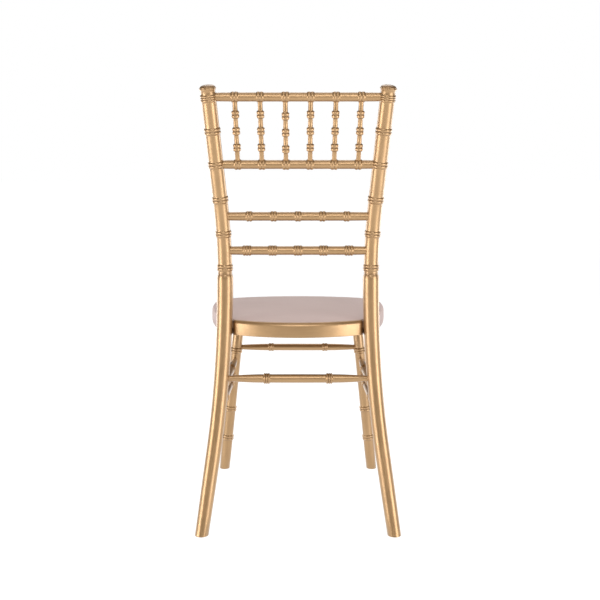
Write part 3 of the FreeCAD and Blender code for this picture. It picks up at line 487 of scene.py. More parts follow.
# Front legs
# Straight beech turnings that splay out and forward from under the seat corners, with
# four ringed nodes each, sawn level at the floor and under the frame.
SEAT_BOTTOM = 403
LEG_RADIUS = 12.8
LEG_SIDES = 48
LEG_FOOT = Vector((184.8, POST_LINE - 360.5, 0))
LEG_HEAD = Vector((141.5, POST_LINE - 340.5, SEAT_BOTTOM))
LEG_WAIST = LEG_RADIUS - 0.1
LEG_FOOT_RADII = (LEG_RADIUS - 1.2, LEG_RADIUS - 0.5)
LEG_HEAD_RADII = (LEG_RADIUS + 0.3, LEG_RADIUS - 0.4)
LEG_RINGS = 4
LEG_RING_FIRST = 82
LEG_RING_SPACING = 74.4
LEG_RING_HALF = 6.5
LEG_RING_CREST = 15
LEG_LIPS = (-3.2, 3.2)
LEG_GROOVE = 1.1


def leg_middle(height):
    return LEG_FOOT.lerp(LEG_HEAD, height / LEG_HEAD.z)


def leg_stations():
    length = (LEG_HEAD - LEG_FOOT).length
    slant = length / LEG_HEAD.z
    made = [(0, LEG_FOOT_RADII[0], 0), (SAWN_EDGE, LEG_FOOT_RADII[1], 0)]
    before = SAWN_EDGE
    for step in range(LEG_RINGS):
        middle = (LEG_RING_FIRST + LEG_RING_SPACING * step) * slant
        made.append(((before + middle - LEG_RING_HALF) / 2, LEG_WAIST, 0))
        made += ring(middle, LEG_RADIUS, LEG_RING_CREST, LEG_LIPS, LEG_GROOVE)
        before = middle + LEG_RING_HALF
    return made + [(length - SAWN_EDGE, LEG_HEAD_RADII[0], 0), (length, LEG_HEAD_RADII[1], 0)]


leg_path = straight_path(LEG_FOOT, LEG_HEAD)
front_leg = lathe("front_leg_left_turned", leg_path, leg_stations(), LEG_SIDES, (0, SEAT_BOTTOM))
front_leg_twin = opposite(front_leg, "front_leg_right_turned")
dress(front_leg, GOLD_UPRIGHT, ["front_leg_left"])
dress(front_leg_twin, GOLD_UPRIGHT, ["front_leg_right"])

# Back rails and slats
# Four beech turnings run from post to post, glued into blind holes. The upper two hold
# the spindles and have a ring at each of them, and the two slats below have five.
SPINDLES = 6
SLAT_RINGS = 5
UPPER_SLAT_HEIGHT = 654
LOWER_SLAT_HEIGHT = 582
UPPER_SLAT_RING_SPACING = 50.7
LOWER_SLAT_RING_SPACING = 53.4
RAIL_SIDES = 40
RAIL_RADIUS = 9.1
RAIL_END_RADIUS = 8.75
RAIL_CREST = 11
RAIL_LIPS = (-3.4, 3.4)
UPPER_SLAT_LIPS = (-3, 3)
LOWER_SLAT_LIPS = (-5.6, 0, 5.6)
RAIL_GROOVE = 1.0
# Painted shade in the grooves of the rails' rings
RAIL_GROOVE_SHADE = 0.8
RAIL_TENON = 12
RAIL_COLLAR = RAIL_TENON + 2
POST_INSET = NECK - RAIL_TENON
SPINDLE_TOP_SPACING = 50.8
SPINDLE_FOOT_SPACING = 49.2


def back_rail(name, height, spacing, count, lips):
    start = post_middle(height)
    start.x -= POST_INSET
    finish = Vector((-start.x, start.y, start.z))
    length = (finish - start).length
    stations = [(0, RAIL_END_RADIUS, 0), (RAIL_COLLAR, RAIL_END_RADIUS, 0)]
    for step in range(count):
        middle = length / 2 + spacing * (step - (count - 1) / 2)
        stations += ring(middle, RAIL_RADIUS, RAIL_CREST, lips, RAIL_GROOVE, RAIL_GROOVE_SHADE)
    stations += [(length - RAIL_COLLAR, RAIL_END_RADIUS, 0), (length, RAIL_END_RADIUS, 0)]
    made = lathe(f"{name}_turned", straight_path(start, finish), stations, RAIL_SIDES)
    dress(made, GOLD_ACROSS, [name])


back_rail("top_rail", TOP_RAIL_HEIGHT, SPINDLE_TOP_SPACING, SPINDLES, RAIL_LIPS)
back_rail("spindle_rail", SPINDLE_RAIL_HEIGHT, SPINDLE_FOOT_SPACING, SPINDLES, RAIL_LIPS)
back_rail("upper_slat", UPPER_SLAT_HEIGHT, UPPER_SLAT_RING_SPACING, SLAT_RINGS, UPPER_SLAT_LIPS)
back_rail("lower_slat", LOWER_SLAT_HEIGHT, LOWER_SLAT_RING_SPACING, SLAT_RINGS, LOWER_SLAT_LIPS)

# Spindles
# Six thin beech sticks fan out a little between the two top rails. Each has three pairs
# of round beads, and the third from the sitter's left is set a little lower.
SPINDLE_SIDES = 28
SPINDLE_RADIUS = 5
SPINDLE_TENON = 7.5
LOW_SPINDLE = 3
LOW_SPINDLE_DROP = 3.4
BEAD_GROUP_SPACING = 33.5
BEAD_RADIUS = 8
BEAD_HALF_SPACING = 3.8
BEAD_HALF_LENGTH = 3.6
BEAD_STEPS = 6
BEAD_SQUARENESS = 3
BEAD_FULLNESS = 0.6
BEAD_SHADE = 0.9
BEAD_GROOVE_RADIUS = SPINDLE_RADIUS + 1.7
BEAD_FOOT_RADIUS = SPINDLE_RADIUS + 0.8
# The fine fillet outside a pair: distance from the bead, height and shade
FILLET = [(0.4, 0.4, 0.4), (1.2, 0, 0)]


def bead_pair(middle):
    """Two full beads with a tight groove between and a fine fillet outside."""
    outer = BEAD_HALF_SPACING + BEAD_HALF_LENGTH
    made = [(middle - outer - away, SPINDLE_RADIUS + rise, shade) for away, rise, shade in reversed(FILLET)]
    for bead in (-1, 1):
        for step in range(-BEAD_STEPS, BEAD_STEPS + 1):
            lean = step / BEAD_STEPS
            swell = (1 - abs(lean) ** BEAD_SQUARENESS) ** BEAD_FULLNESS
            low = BEAD_GROOVE_RADIUS if lean * bead < 0 else BEAD_FOOT_RADIUS
            place = middle + bead * BEAD_HALF_SPACING + lean * BEAD_HALF_LENGTH
            # Painted shade at each bead's ends, in the groove between them and at their feet
            groove = BEAD_SHADE * lean**GROOVE_SHADE_SHARPNESS
            made.append((place, low + (BEAD_RADIUS - low) * swell, groove))
    return made + [(middle + outer + away, SPINDLE_RADIUS + rise, shade) for away, rise, shade in FILLET]


spindle_foot = post_middle(SPINDLE_RAIL_HEIGHT)
spindle_top = post_middle(TOP_RAIL_HEIGHT)
back_lean = math.atan2(spindle_top.y - spindle_foot.y, spindle_top.z - spindle_foot.z)
back_length = math.hypot(spindle_top.y - spindle_foot.y, spindle_top.z - spindle_foot.z)
stick_start = RAIL_RADIUS - SPINDLE_TENON
stick = [(stick_start, SPINDLE_RADIUS, 0)]
for step in (-1, 0, 1):
    stick += bead_pair(back_length / 2 + BEAD_GROUP_SPACING * step)
stick.append((back_length - stick_start, SPINDLE_RADIUS, 0))
spindles = lathe("spindles", straight_path(Vector((0, 0, 0)), Vector((0, 0, 1))), stick, SPINDLE_SIDES)


def spindle_row():
    """Geometry Nodes: repeat one stick along a line, fanned out, one of them lower."""
    tree = bpy.data.node_groups.new("Spindle row", "GeometryNodeTree")
    for label, kind, value in (
        ("Geometry", "NodeSocketGeometry", None),
        ("Count", "NodeSocketInt", SPINDLES),
        ("Foot spacing", "NodeSocketFloat", SPINDLE_FOOT_SPACING * MM),
        ("Top spacing", "NodeSocketFloat", SPINDLE_TOP_SPACING * MM),
        ("Length", "NodeSocketFloat", back_length * MM),
        ("Low one", "NodeSocketInt", SPINDLES - LOW_SPINDLE),
        ("Drop", "NodeSocketFloat", LOW_SPINDLE_DROP * MM),
        ("Material", "NodeSocketMaterial", None),
    ):
        socket = tree.interface.new_socket(name=label, in_out="INPUT", socket_type=kind)
        if value is not None:
            socket.default_value = value
    tree.interface.new_socket(name="Geometry", in_out="OUTPUT", socket_type="NodeSocketGeometry")
    source = tree.nodes.new("NodeGroupInput")
    sink = tree.nodes.new("NodeGroupOutput")
    link = tree.links.new
    points = tree.nodes.new("GeometryNodeMeshLine")
    link(source.outputs["Count"], points.inputs["Count"])
    index = tree.nodes.new("GeometryNodeInputIndex").outputs[0]
    middle = maths(tree, "MULTIPLY", maths(tree, "SUBTRACT", source.outputs["Count"], 1), 0.5)
    step = maths(tree, "SUBTRACT", index, middle)
    low = maths(tree, "COMPARE", index, source.outputs["Low one"])
    fall = maths(tree, "MULTIPLY", source.outputs["Drop"], -1)
    place = tree.nodes.new("ShaderNodeCombineXYZ")
    link(maths(tree, "MULTIPLY", step, source.outputs["Foot spacing"]), place.inputs["X"])
    link(maths(tree, "MULTIPLY", low, fall), place.inputs["Z"])
    moved = tree.nodes.new("GeometryNodeSetPosition")
    link(points.outputs["Mesh"], moved.inputs["Geometry"])
    link(place.outputs[0], moved.inputs["Position"])
    widening = maths(tree, "SUBTRACT", source.outputs["Top spacing"], source.outputs["Foot spacing"])
    fan = maths(tree, "ARCTAN2", maths(tree, "MULTIPLY", step, widening), source.outputs["Length"])
    turn = tree.nodes.new("ShaderNodeCombineXYZ")
    link(fan, turn.inputs["Y"])
    copies = tree.nodes.new("GeometryNodeInstanceOnPoints")
    link(moved.outputs[0], copies.inputs["Points"])
    link(source.outputs["Geometry"], copies.inputs["Instance"])
    link(turn.outputs[0], copies.inputs["Rotation"])
    real = tree.nodes.new("GeometryNodeRealizeInstances")
    link(copies.outputs[0], real.inputs[0])
    finish = tree.nodes.new("GeometryNodeSetMaterial")
    link(real.outputs[0], finish.inputs["Geometry"])
    link(source.outputs["Material"], finish.inputs["Material"])
    link(finish.outputs[0], sink.inputs["Geometry"])
    return tree


def made_by_nodes(piece, tree, values):
    """Run a Geometry Nodes tree on a piece and keep its result as a plain mesh."""
    modifier = piece.modifiers.new("nodes", "NODES")
    modifier.node_group = tree
    for item in tree.interface.items_tree:
        if item.in_out == "INPUT" and item.name in values:
            modifier[item.identifier] = values[item.name]
    bpy.context.view_layer.update()
    evaluated = piece.evaluated_get(bpy.context.evaluated_depsgraph_get())
    mesh = bpy.data.meshes.new_from_object(evaluated)
    piece.modifiers.clear()
    piece.data = mesh


made_by_nodes(spindles, spindle_row(), {"Material": GOLD_UPRIGHT})
tilt = Matrix.Rotation(-back_lean, 4, "X")
spindles.data.transform(Matrix.Translation(Vector((0, spindle_foot.y, spindle_foot.z)) * MM) @ tilt)
dress(spindles, GOLD_UPRIGHT, [f"spindle_{number}" for number in range(1, SPINDLES + 1)])

# Stretchers
# Six beech turnings brace the legs: one in front, one behind and two on each side. Each
# is full between two rings and tapers from them to its glued ends.
CROSS_HEIGHT = 312
SIDE_HEIGHTS = {"upper": 281, "lower": 245}
STRETCHER_END = 6
STRETCHER_COLLAR = RAIL_TENON + 3
TAPER_STEPS = 9
STRETCHER_HALF = 66
STRETCHER_RING_HALF = 8
STRETCHER_GROOVE = 1.4
STRETCHER_BULGE = 0.15
STRETCHER_LIPS = (-4.3, 0, 4.3)
STRETCHER = (9, 11.5, STRETCHER_LIPS)
FRONT_STRETCHER = (8.2, 10, (-3, 3))
LEG_INSET = LEG_RADIUS - RAIL_TENON


def stretcher(name, start, finish, form, material):
    """One stretcher between two ends. Its form is its radius, its rings' and their lips."""
    radius, crest, lips = form
    length = (finish - start).length
    first_ring = length / 2 - STRETCHER_HALF
    taper_length = first_ring - STRETCHER_RING_HALF - STRETCHER_COLLAR
    taper = [(0, STRETCHER_END, 0), (STRETCHER_COLLAR, STRETCHER_END, 0)]
    for share in between(0, 1, TAPER_STEPS)[:-1]:
        place = STRETCHER_COLLAR + taper_length * share
        taper.append((place, STRETCHER_END + (radius - STRETCHER_END) * math.sin(share * math.pi / 2), 0))
    stations = taper + ring(first_ring, radius, crest, lips, STRETCHER_GROOVE)
    stations.append((length / 2, radius + STRETCHER_BULGE, 0))
    stations += ring(length - first_ring, radius, crest, lips, STRETCHER_GROOVE)
    stations += [(length - place, size, groove) for place, size, groove in reversed(taper)]
    made = lathe(f"{name}_turned", straight_path(start, finish), stations, RAIL_SIDES)
    dress(made, material, [name])


def inset_line(start, finish, inset):
    """The line between two points, shortened at each end."""
    step = (finish - start).normalized() * inset
    return start + step, finish - step


def flipped(point):
    return Vector((-point.x, point.y, point.z))


rear_end = post_middle(CROSS_HEIGHT)
front_end = leg_middle(CROSS_HEIGHT)
rear_line = inset_line(rear_end, flipped(rear_end), POST_INSET)
front_line = inset_line(front_end, flipped(front_end), LEG_INSET)
stretcher("rear_stretcher", *rear_line, STRETCHER, GOLD_ACROSS)
stretcher("front_stretcher", *front_line, FRONT_STRETCHER, GOLD_ACROSS)
for level, height in SIDE_HEIGHTS.items():
    side_line = inset_line(leg_middle(height), post_middle(height), LEG_INSET)
    stretcher(f"side_stretcher_{level}_left", *side_line, STRETCHER, GOLD_FORE_AFT)
    twin_line = [flipped(point) for point in side_line]
    stretcher(f"side_stretcher_{level}_right", *twin_line, STRETCHER, GOLD_FORE_AFT)

# Seat frame
# Four beech rails: a bent front rail with both corners, two side rails, and a bowed rear
# rail with a rounded top edge and a lip that hides the back of the pad.
RAIL_SHARP_ANGLE = math.radians(40)
MERGE_DISTANCE = 0.01 * MM
FLAT_ANGLE = math.radians(0.8)
EASED_EDGE = 0.6 * MM
EASED_SEGMENTS = 2
SEAT_TOP = 434.5
FRAME_TOP = 427.5
REAR_RAIL_RADIUS = 267
REAR_RAIL_WIDTH = 28
REAR_RAIL_LIP = 10
REAR_RAIL_ROUND = 9
REAR_RAIL_ROUND_STEPS = 8
REAR_RAIL_ARRIS = 0.8
REAR_RAIL_END_ROUND = 8
REAR_RAIL_END_STEPS = 10
REAR_RAIL_HALF_STEPS = 40
REAR_RAIL_END_SHADE = 1.5
REAR_LIP_LEAST = 0.6
REAR_LIP_FALL = 0.5
REAR_MIDDLE = POST_LINE + 43.1
POST_AT_SEAT = 16.8
REAR_END = post_middle((SEAT_BOTTOM + SEAT_TOP) / 2).x - POST_AT_SEAT
REAR_TENON = Vector((18, 8, 12))
REAR_TENON_MIDDLE = Vector((REAR_END + 3, POST_LINE - 2.5, SEAT_BOTTOM + 20))
PANEL_LEDGE = 12
PANEL_BOTTOM = FRAME_TOP - 5


def rear_rail_profile(pulled):
    """Distance in from the outer face and height, round the rail's section. The outer face
    is pulled in by some distance where the rail's end is rounded."""
    made = [(pulled + REAR_RAIL_ARRIS, SEAT_BOTTOM), (pulled, SEAT_BOTTOM + REAR_RAIL_ARRIS)]
    for step in range(REAR_RAIL_ROUND_STEPS + 1):
        turn = math.pi / 2 * step / REAR_RAIL_ROUND_STEPS
        over = REAR_RAIL_ROUND * (1 - math.cos(turn))
        made.append((pulled + over, SEAT_TOP - REAR_RAIL_ROUND * (1 - math.sin(turn))))
    lip = max(REAR_RAIL_LIP, pulled + REAR_RAIL_ROUND + REAR_LIP_LEAST)
    ledge = REAR_RAIL_WIDTH - PANEL_LEDGE
    made += [(lip, SEAT_TOP - REAR_LIP_FALL), (lip, FRAME_TOP)]
    made += [(ledge, FRAME_TOP), (ledge, PANEL_BOTTOM)]
    return made + [(REAR_RAIL_WIDTH, PANEL_BOTTOM), (REAR_RAIL_WIDTH, SEAT_BOTTOM)]


def rear_rail():
    """The bowed rail, swept from end to end, and a tenon at each end."""
    work = bmesh.new()
    shade = work.verts.layers.float.new("groove")
    straight = REAR_END - REAR_RAIL_END_ROUND
    steps = range(-REAR_RAIL_HALF_STEPS, REAR_RAIL_HALF_STEPS + 1)
    sections = [straight * step / REAR_RAIL_HALF_STEPS for step in steps]
    for turn in between(0, math.pi / 2, REAR_RAIL_END_STEPS):
        near = straight + REAR_RAIL_END_ROUND * math.sin(turn)
        sections += [near, -near]
    rows = []
    for x in sorted(sections):
        lack = max(0, abs(x) - straight)
        pulled = REAR_RAIL_END_ROUND - math.sqrt(max(0, REAR_RAIL_END_ROUND**2 - lack**2))
        row = []
        for inward, height in rear_rail_profile(pulled):
            y = REAR_MIDDLE - REAR_RAIL_RADIUS + math.sqrt((REAR_RAIL_RADIUS - inward) ** 2 - x**2)
            vertex = work.verts.new(Vector((x, y, height)) * MM)
            # Painted shade in the recess where the rail's end rounds in beside the post
            vertex[shade] = min(1, lack / REAR_RAIL_END_ROUND * REAR_RAIL_END_SHADE)
            row.append(vertex)
        rows.append(row)
    closed_tube(work, rows)
    for side in (1, -1):
        middle = Vector((side * REAR_TENON_MIDDLE.x, REAR_TENON_MIDDLE.y, REAR_TENON_MIDDLE.z))
        place = Matrix.Translation(middle * MM) @ Matrix.Diagonal((*(REAR_TENON * MM), 1))
        tenon = bmesh.ops.create_cube(work, size=1, matrix=place)
        # The hidden tenons are painted in full shade
        for vertex in tenon["verts"]:
            vertex[shade] = 1
    made = finished(work, "seat_rail_rear_bowed", RAIL_SHARP_ANGLE)
    dress(made, GOLD_ACROSS, ["seat_rail_rear"])


def eased(node, material):
    """A CAD piece with its sharp edges taken off and its curves smooth."""
    made = bpy.data.objects.new(f"{node}_eased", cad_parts[node].data.copy())
    bpy.context.scene.collection.objects.link(made)
    work = bmesh.new()
    work.from_mesh(made.data)
    bmesh.ops.remove_doubles(work, verts=work.verts, dist=MERGE_DISTANCE)
    bmesh.ops.dissolve_limit(work, angle_limit=FLAT_ANGLE, verts=work.verts, edges=work.edges)
    for face in work.faces:
        face.smooth = True
    work.to_mesh(made.data)
    work.free()
    bevel = made.modifiers.new("eased edges", "BEVEL")
    bevel.width = EASED_EDGE
    bevel.segments = EASED_SEGMENTS
    bevel.limit_method = "ANGLE"
    bevel.angle_limit = RAIL_SHARP_ANGLE
    bevel.harden_normals = True
    made.data.set_sharp_from_angle(angle=RAIL_SHARP_ANGLE)
    dress(made, material, [node])


rear_rail()
eased("seat_rail_front", GOLD_ACROSS)
eased("seat_rail_left", GOLD_FORE_AFT)
eased("seat_rail_right", GOLD_FORE_AFT)

# Seat panel
# Birch plywood let into a rebate of the frame, unfinished, with its veneers showing at
# the edge. It is seen only from below.
BIRCH_DARK = (0.50, 0.33, 0.17, 1)
BIRCH_PALE = (0.66, 0.47, 0.27, 1)
VENEER_STRETCH = (5, 0.5, 60)
VENEERS = (22, 6, 0.65)
PORES = (700, 2, 0.5)
PORE_MATTNESS = (0.55, 0.75)
GRAIN_SHARE = 0.6
VENEER_RELIEF = 0.3 * MM
VENEER_BUMP = 0.3


def plywood():
    made, tree, shader = new_material("plywood_bare")
    place = object_place(tree)
    grain = noise(tree, stretched(tree, place, VENEER_STRETCH), *VENEERS)
    pores = noise(tree, place, *PORES)
    colour = blend_colour(tree, span(tree, grain, CLOUD_RANGE, (0, 1)), BIRCH_DARK, BIRCH_PALE)
    tree.links.new(colour, shader.inputs["Base Color"])
    tree.links.new(span(tree, pores, CLOUD_RANGE, PORE_MATTNESS), shader.inputs["Roughness"])
    fine = maths(tree, "MULTIPLY", pores, 1 - GRAIN_SHARE)
    height = maths(tree, "ADD", maths(tree, "MULTIPLY", grain, GRAIN_SHARE), fine)
    bumped(tree, shader, height, VENEER_BUMP, VENEER_RELIEF)
    return made


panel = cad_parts["seat_panel"]
panel.data.materials.clear()
panel.data.materials.append(plywood())

# Seat pad
# Thin foam under a pinkish beige cover, pulled down over the sides and the front of the
# frame and stapled below, with a low crown and a soft rounded edge.
SEAT_HALF_WIDTH = 199.8
SIDE_RADIUS = 660
CORNER_RADIUS = 87
FRONT_RADIUS = 410
SIDE_CENTRE = (SEAT_HALF_WIDTH - SIDE_RADIUS, POST_LINE - 246.5)
FRONT_CENTRE = (0, POST_LINE - 385.5 + FRONT_RADIUS)
PAD_GAP = 0.3
PAD_REAR = REAR_MIDDLE - REAR_RAIL_LIP - PAD_GAP
PAD_SETBACK = 2.5
PAD_CROWN = 1.8
PAD_CROWN_REACH = 80
PAD_CROWN_START = 7
PAD_POLE = POST_LINE - 190
PAD_EDGE = 6
PAD_EDGE_INSET = 0.5
PAD_SKIRT = 2.5
PAD_TUCK = 30
COPE_RADIUS = POST_AT_SEAT + 0.1
PAD_MERGE = 0.05 * MM
ALL_SMOOTH = math.pi
REAR_COUNT = 26
SIDE_COUNT = 40
CORNER_COUNT = 18
FRONT_COUNT = 16
CROWN_SHARES = (0.12, 0.3, 0.5, 0.7, 0.86)
CROWN_STEPS = 8
EDGE_STEPS = 6
# The skirt from its fullest part round the hem and up inside: how far each level draws
# in from the full plan, its height, and its rise above the rear hem at the rear
SKIRT_LEVELS = [
    (0.1, 420, 0.5),
    (0, 412, 0.3),
    (0.5, 405.5, 0.1),
    (1.2, SEAT_BOTTOM + PAD_GAP, 0),
    (1.8, SEAT_BOTTOM, 0),
    (PAD_SKIRT, SEAT_BOTTOM + PAD_GAP, 0),
    (PAD_SKIRT, FRAME_TOP - 3, 0),
    (PAD_SKIRT + PAD_GAP, FRAME_TOP + PAD_GAP, 0),
    (PAD_TUCK, FRAME_TOP + PAD_GAP, 0),
]


def circles_meet(first, first_radius, second, second_radius, side):
    run, rise = second[0] - first[0], second[1] - first[1]
    apart = math.hypot(run, rise)
    along = (first_radius**2 - second_radius**2 + apart**2) / (2 * apart)
    off = math.sqrt(first_radius**2 - along**2) * side
    return first[0] + (run * along - rise * off) / apart, first[1] + (rise * along + run * off) / apart


side_reach = SIDE_RADIUS - CORNER_RADIUS
front_reach = FRONT_RADIUS - CORNER_RADIUS
CORNER_CENTRE = circles_meet(SIDE_CENTRE, side_reach, FRONT_CENTRE, front_reach, -1)
pad_fall = PAD_REAR - POST_LINE + PAD_SETBACK
PAD_REAR_RADIUS = (REAR_END**2 + pad_fall**2) / (2 * pad_fall)


def arc_points(centre, radius, first, last, count):
    """Points along an arc between two bearings, without its last."""
    made = []
    for step in range(count):
        turn = first + (last - first) * step / count
        made.append((centre[0] + radius * math.cos(turn), centre[1] + radius * math.sin(turn)))
    return made


def bearing(centre, point):
    return math.atan2(point[1] - centre[1], point[0] - centre[0])


def pad_outline(inset):
    """The plan of the pad, inset: the left half from the back's middle to the front's, and
    then the same mirrored."""
    rear_centre = (0, PAD_REAR - PAD_REAR_RADIUS)
    rear_radius = PAD_REAR_RADIUS - inset
    side_radius = SIDE_RADIUS - inset
    corner = circles_meet(SIDE_CENTRE, side_radius, rear_centre, rear_radius, 1)
    side_turn = bearing(SIDE_CENTRE, CORNER_CENTRE)
    front_turn = bearing(FRONT_CENTRE, CORNER_CENTRE)
    half = arc_points(rear_centre, rear_radius, math.pi / 2, bearing(rear_centre, corner), REAR_COUNT)
    half += arc_points(SIDE_CENTRE, side_radius, bearing(SIDE_CENTRE, corner), side_turn, SIDE_COUNT)
    half += arc_points(CORNER_CENTRE, CORNER_RADIUS - inset, side_turn, front_turn, CORNER_COUNT)
    half += arc_points(FRONT_CENTRE, FRONT_RADIUS - inset, front_turn, -math.pi / 2, FRONT_COUNT)
    half.append((0, FRONT_CENTRE[1] - FRONT_RADIUS + inset))
    return half + [(-x, y) for x, y in reversed(half[1:-1])]


def pad_level(inset, height, rear_height=None):
    """One ring of the pad. Its rear points may stand at their own height."""
    outline = pad_outline(inset)
    made = []
    for index, (x, y) in enumerate(outline):
        from_rear = min(index, len(outline) - index)
        at_rear = rear_height is not None and from_rear <= REAR_COUNT
        z = rear_height if at_rear else height
        post = post_middle(z)
        aside = abs(x) - post.x
        if abs(aside) < COPE_RADIUS:
            y = min(y, post.y - math.sqrt(COPE_RADIUS**2 - aside**2))
        made.append(Vector((x, y, z)))
    return made


def pad_rings():
    """From the middle of the top, over the edge, down the skirt and back underneath."""
    crown = SEAT_TOP + PAD_CROWN
    flat = pad_level(PAD_CROWN_REACH, crown)
    centre = Vector((0, PAD_POLE, crown))
    levels = [[centre.lerp(point, share) for point in flat] for share in CROWN_SHARES]
    for inset in [PAD_CROWN_REACH] + between(PAD_CROWN_REACH, PAD_CROWN_START, CROWN_STEPS):
        share = (inset - PAD_CROWN_START) / (PAD_CROWN_REACH - PAD_CROWN_START)
        levels.append(pad_level(inset, crown - PAD_CROWN * (1 - share) ** 2))
    for turn in between(0, math.pi / 2, EDGE_STEPS):
        inset = PAD_EDGE_INSET + (PAD_EDGE + PAD_EDGE_INSET) * (1 - math.sin(turn))
        levels.append(pad_level(inset, SEAT_TOP - PAD_EDGE * (1 - math.cos(turn))))
    for inset, height, rear_rise in SKIRT_LEVELS:
        levels.append(pad_level(inset, height, FRAME_TOP + PAD_GAP + rear_rise))
    return levels


def pad_mesh(name):
    work = bmesh.new()
    rings = [[work.verts.new(point * MM) for point in level] for level in pad_rings()]
    count = len(rings[0])
    for first, second in zip(rings, rings[1:]):
        for index in range(count):
            following = (index + 1) % count
            work.faces.new((first[index], first[following], second[following], second[index]))
    for row in (rings[0], rings[-1]):
        pole = work.verts.new(sum((vertex.co for vertex in row), Vector()) / count)
        for index in range(count):
            work.faces.new((row[index], row[(index + 1) % count], pole))
    bmesh.ops.remove_doubles(work, verts=work.verts, dist=PAD_MERGE)
    return finished(work, name, ALL_SMOOTH)


STUFFING_FRAMES = 20
STUFFING_SWELL = 2.8
HELD_BELOW = SEAT_TOP - PAD_EDGE + 0.1
CLOTH_STEPS = 6
CLOTH_STIFFNESS = 20
CLOTH_BENDING = 1
CLOTH_PRESSURE = 4


def stuffed(piece):
    """Blow the cover up over its foam, held below its edge, where it is pulled down and
    stapled, and keep the part of that swelling that thin foam gives."""
    held = [vertex.index for vertex in piece.data.vertices if vertex.co.z < HELD_BELOW * MM]
    piece.vertex_groups.new(name="held").add(held, 1, "ADD")
    cloth = piece.modifiers.new("stuffing", "CLOTH")
    cloth.settings.quality = CLOTH_STEPS
    cloth.settings.tension_stiffness = CLOTH_STIFFNESS
    cloth.settings.compression_stiffness = CLOTH_STIFFNESS
    cloth.settings.bending_stiffness = CLOTH_BENDING
    cloth.settings.use_pressure = True
    cloth.settings.uniform_pressure_force = CLOTH_PRESSURE
    cloth.settings.vertex_group_mass = "held"
    cloth.settings.effector_weights.gravity = 0
    cloth.point_cache.frame_start = 1
    cloth.point_cache.frame_end = STUFFING_FRAMES
    scene = bpy.context.scene
    for number in range(1, STUFFING_FRAMES + 1):
        scene.frame_set(number)
    swollen = piece.evaluated_get(bpy.context.evaluated_depsgraph_get()).data
    moves = [after.co - before.co for before, after in zip(piece.data.vertices, swollen.vertices)]
    piece.modifiers.clear()
    piece.vertex_groups.clear()
    scene.frame_set(1)
    kept = STUFFING_SWELL * MM / max(move.length for move in moves)
    for vertex, move in zip(piece.data.vertices, moves):
        vertex.co += move * kept


COVER_ROSE = (0.64, 0.477, 0.437, 1)
COVER_PALE = (0.69, 0.522, 0.48, 1)
COVER_THREAD = (0.44, 0.32, 0.295, 1)
THREAD_SCALE = 420
THREAD_WANDER = 0.6
THREAD_SHARE = 0.12
COVER_MATTNESS = (0.62, 0.72)
COVER_CLOUDS = (9, 3, 0.5)
COVER_BUMP = 0.15
COVER_RELIEF = 0.2 * MM
COVER_SHEEN = 0.15


def cover():
    """Matt woven cover: a fine even weave over slow changes of tone."""
    made, tree, shader = new_material("pad_cover_weave")
    place = object_place(tree)
    threads = []
    for direction in ("X", "Y"):
        wave = tree.nodes.new("ShaderNodeTexWave")
        wave.bands_direction = direction
        wave.inputs["Scale"].default_value = THREAD_SCALE
        wave.inputs["Distortion"].default_value = THREAD_WANDER
        tree.links.new(place, wave.inputs["Vector"])
        threads.append(wave.outputs["Fac"])
    weave = maths(tree, "ADD", *threads)
    clouds = noise(tree, place, *COVER_CLOUDS)
    colour = blend_colour(tree, span(tree, clouds, CLOUD_RANGE, (0, 1)), COVER_ROSE, COVER_PALE)
    woven = blend_colour(tree, span(tree, weave, (0, 2), (0, THREAD_SHARE)), colour, COVER_THREAD)
    tree.links.new(woven, shader.inputs["Base Color"])
    tree.links.new(span(tree, clouds, CLOUD_RANGE, COVER_MATTNESS), shader.inputs["Roughness"])
    bumped(tree, shader, weave, COVER_BUMP, COVER_RELIEF)
    shader.inputs["Sheen Weight"].default_value = COVER_SHEEN
    return made


pad = pad_mesh("seat_pad_cover")
stuffed(pad)
dress(pad, cover(), ["seat_pad"])

# Studio
# A white floor and background, four strip lights round the chair and three soft lights
# above it. The dim room round them is seen by reflections alone and gives gold dark edges.
STUDIO_WHITE = (1, 1, 1, 1)
PAPER_GREY = (0.3, 0.3, 0.3, 1)
PAPER_GLOW = 0.9
PAPER_ROUGHNESS = 0.9
PAPER_SPECULAR = 0.1
FLOOR_SIZE = 60
FLOOR_DROP = 0.0005
AMBIENT = 0.32
ROOM_GLOW = (0.17, 0.15, 0.13, 1)
ROOM_RADIUS = 6
ROOM_HEIGHT = 0.8
ROOM_SEGMENTS = 48
ROOM_RINGS = 24
LIGHT_AIM = Vector((0, 0, 0.5))
STRIP_DISTANCE = 2.4
STRIP_HEIGHT = 0.62
STRIP_SIZE = (1.1, 1.2)
# Bearing from straight behind the chair in degrees, and power in watts
STRIPS = [(62, 24), (-52, 23), (138, 14), (-130, 14)]
# Place and size in metres, and power in watts
HIGH_LIGHTS = {
    "high_rear": ((0, 2.6, 2.35), (1.8, 1.5), 30),
    "sky": ((0, 0.3, 3.2), (2.2, 2.2), 12),
    "high_front": ((0, -2.4, 2.9), (1.8, 1.0), 16),
}


def seen_directly(tree):
    """1 for rays from the camera, in a reflection or through glass."""
    paths = tree.nodes.new("ShaderNodeLightPath").outputs
    seen = maths(tree, "MAXIMUM", paths["Is Camera Ray"], paths["Is Glossy Ray"])
    return maths(tree, "MAXIMUM", seen, paths["Is Transmission Ray"])


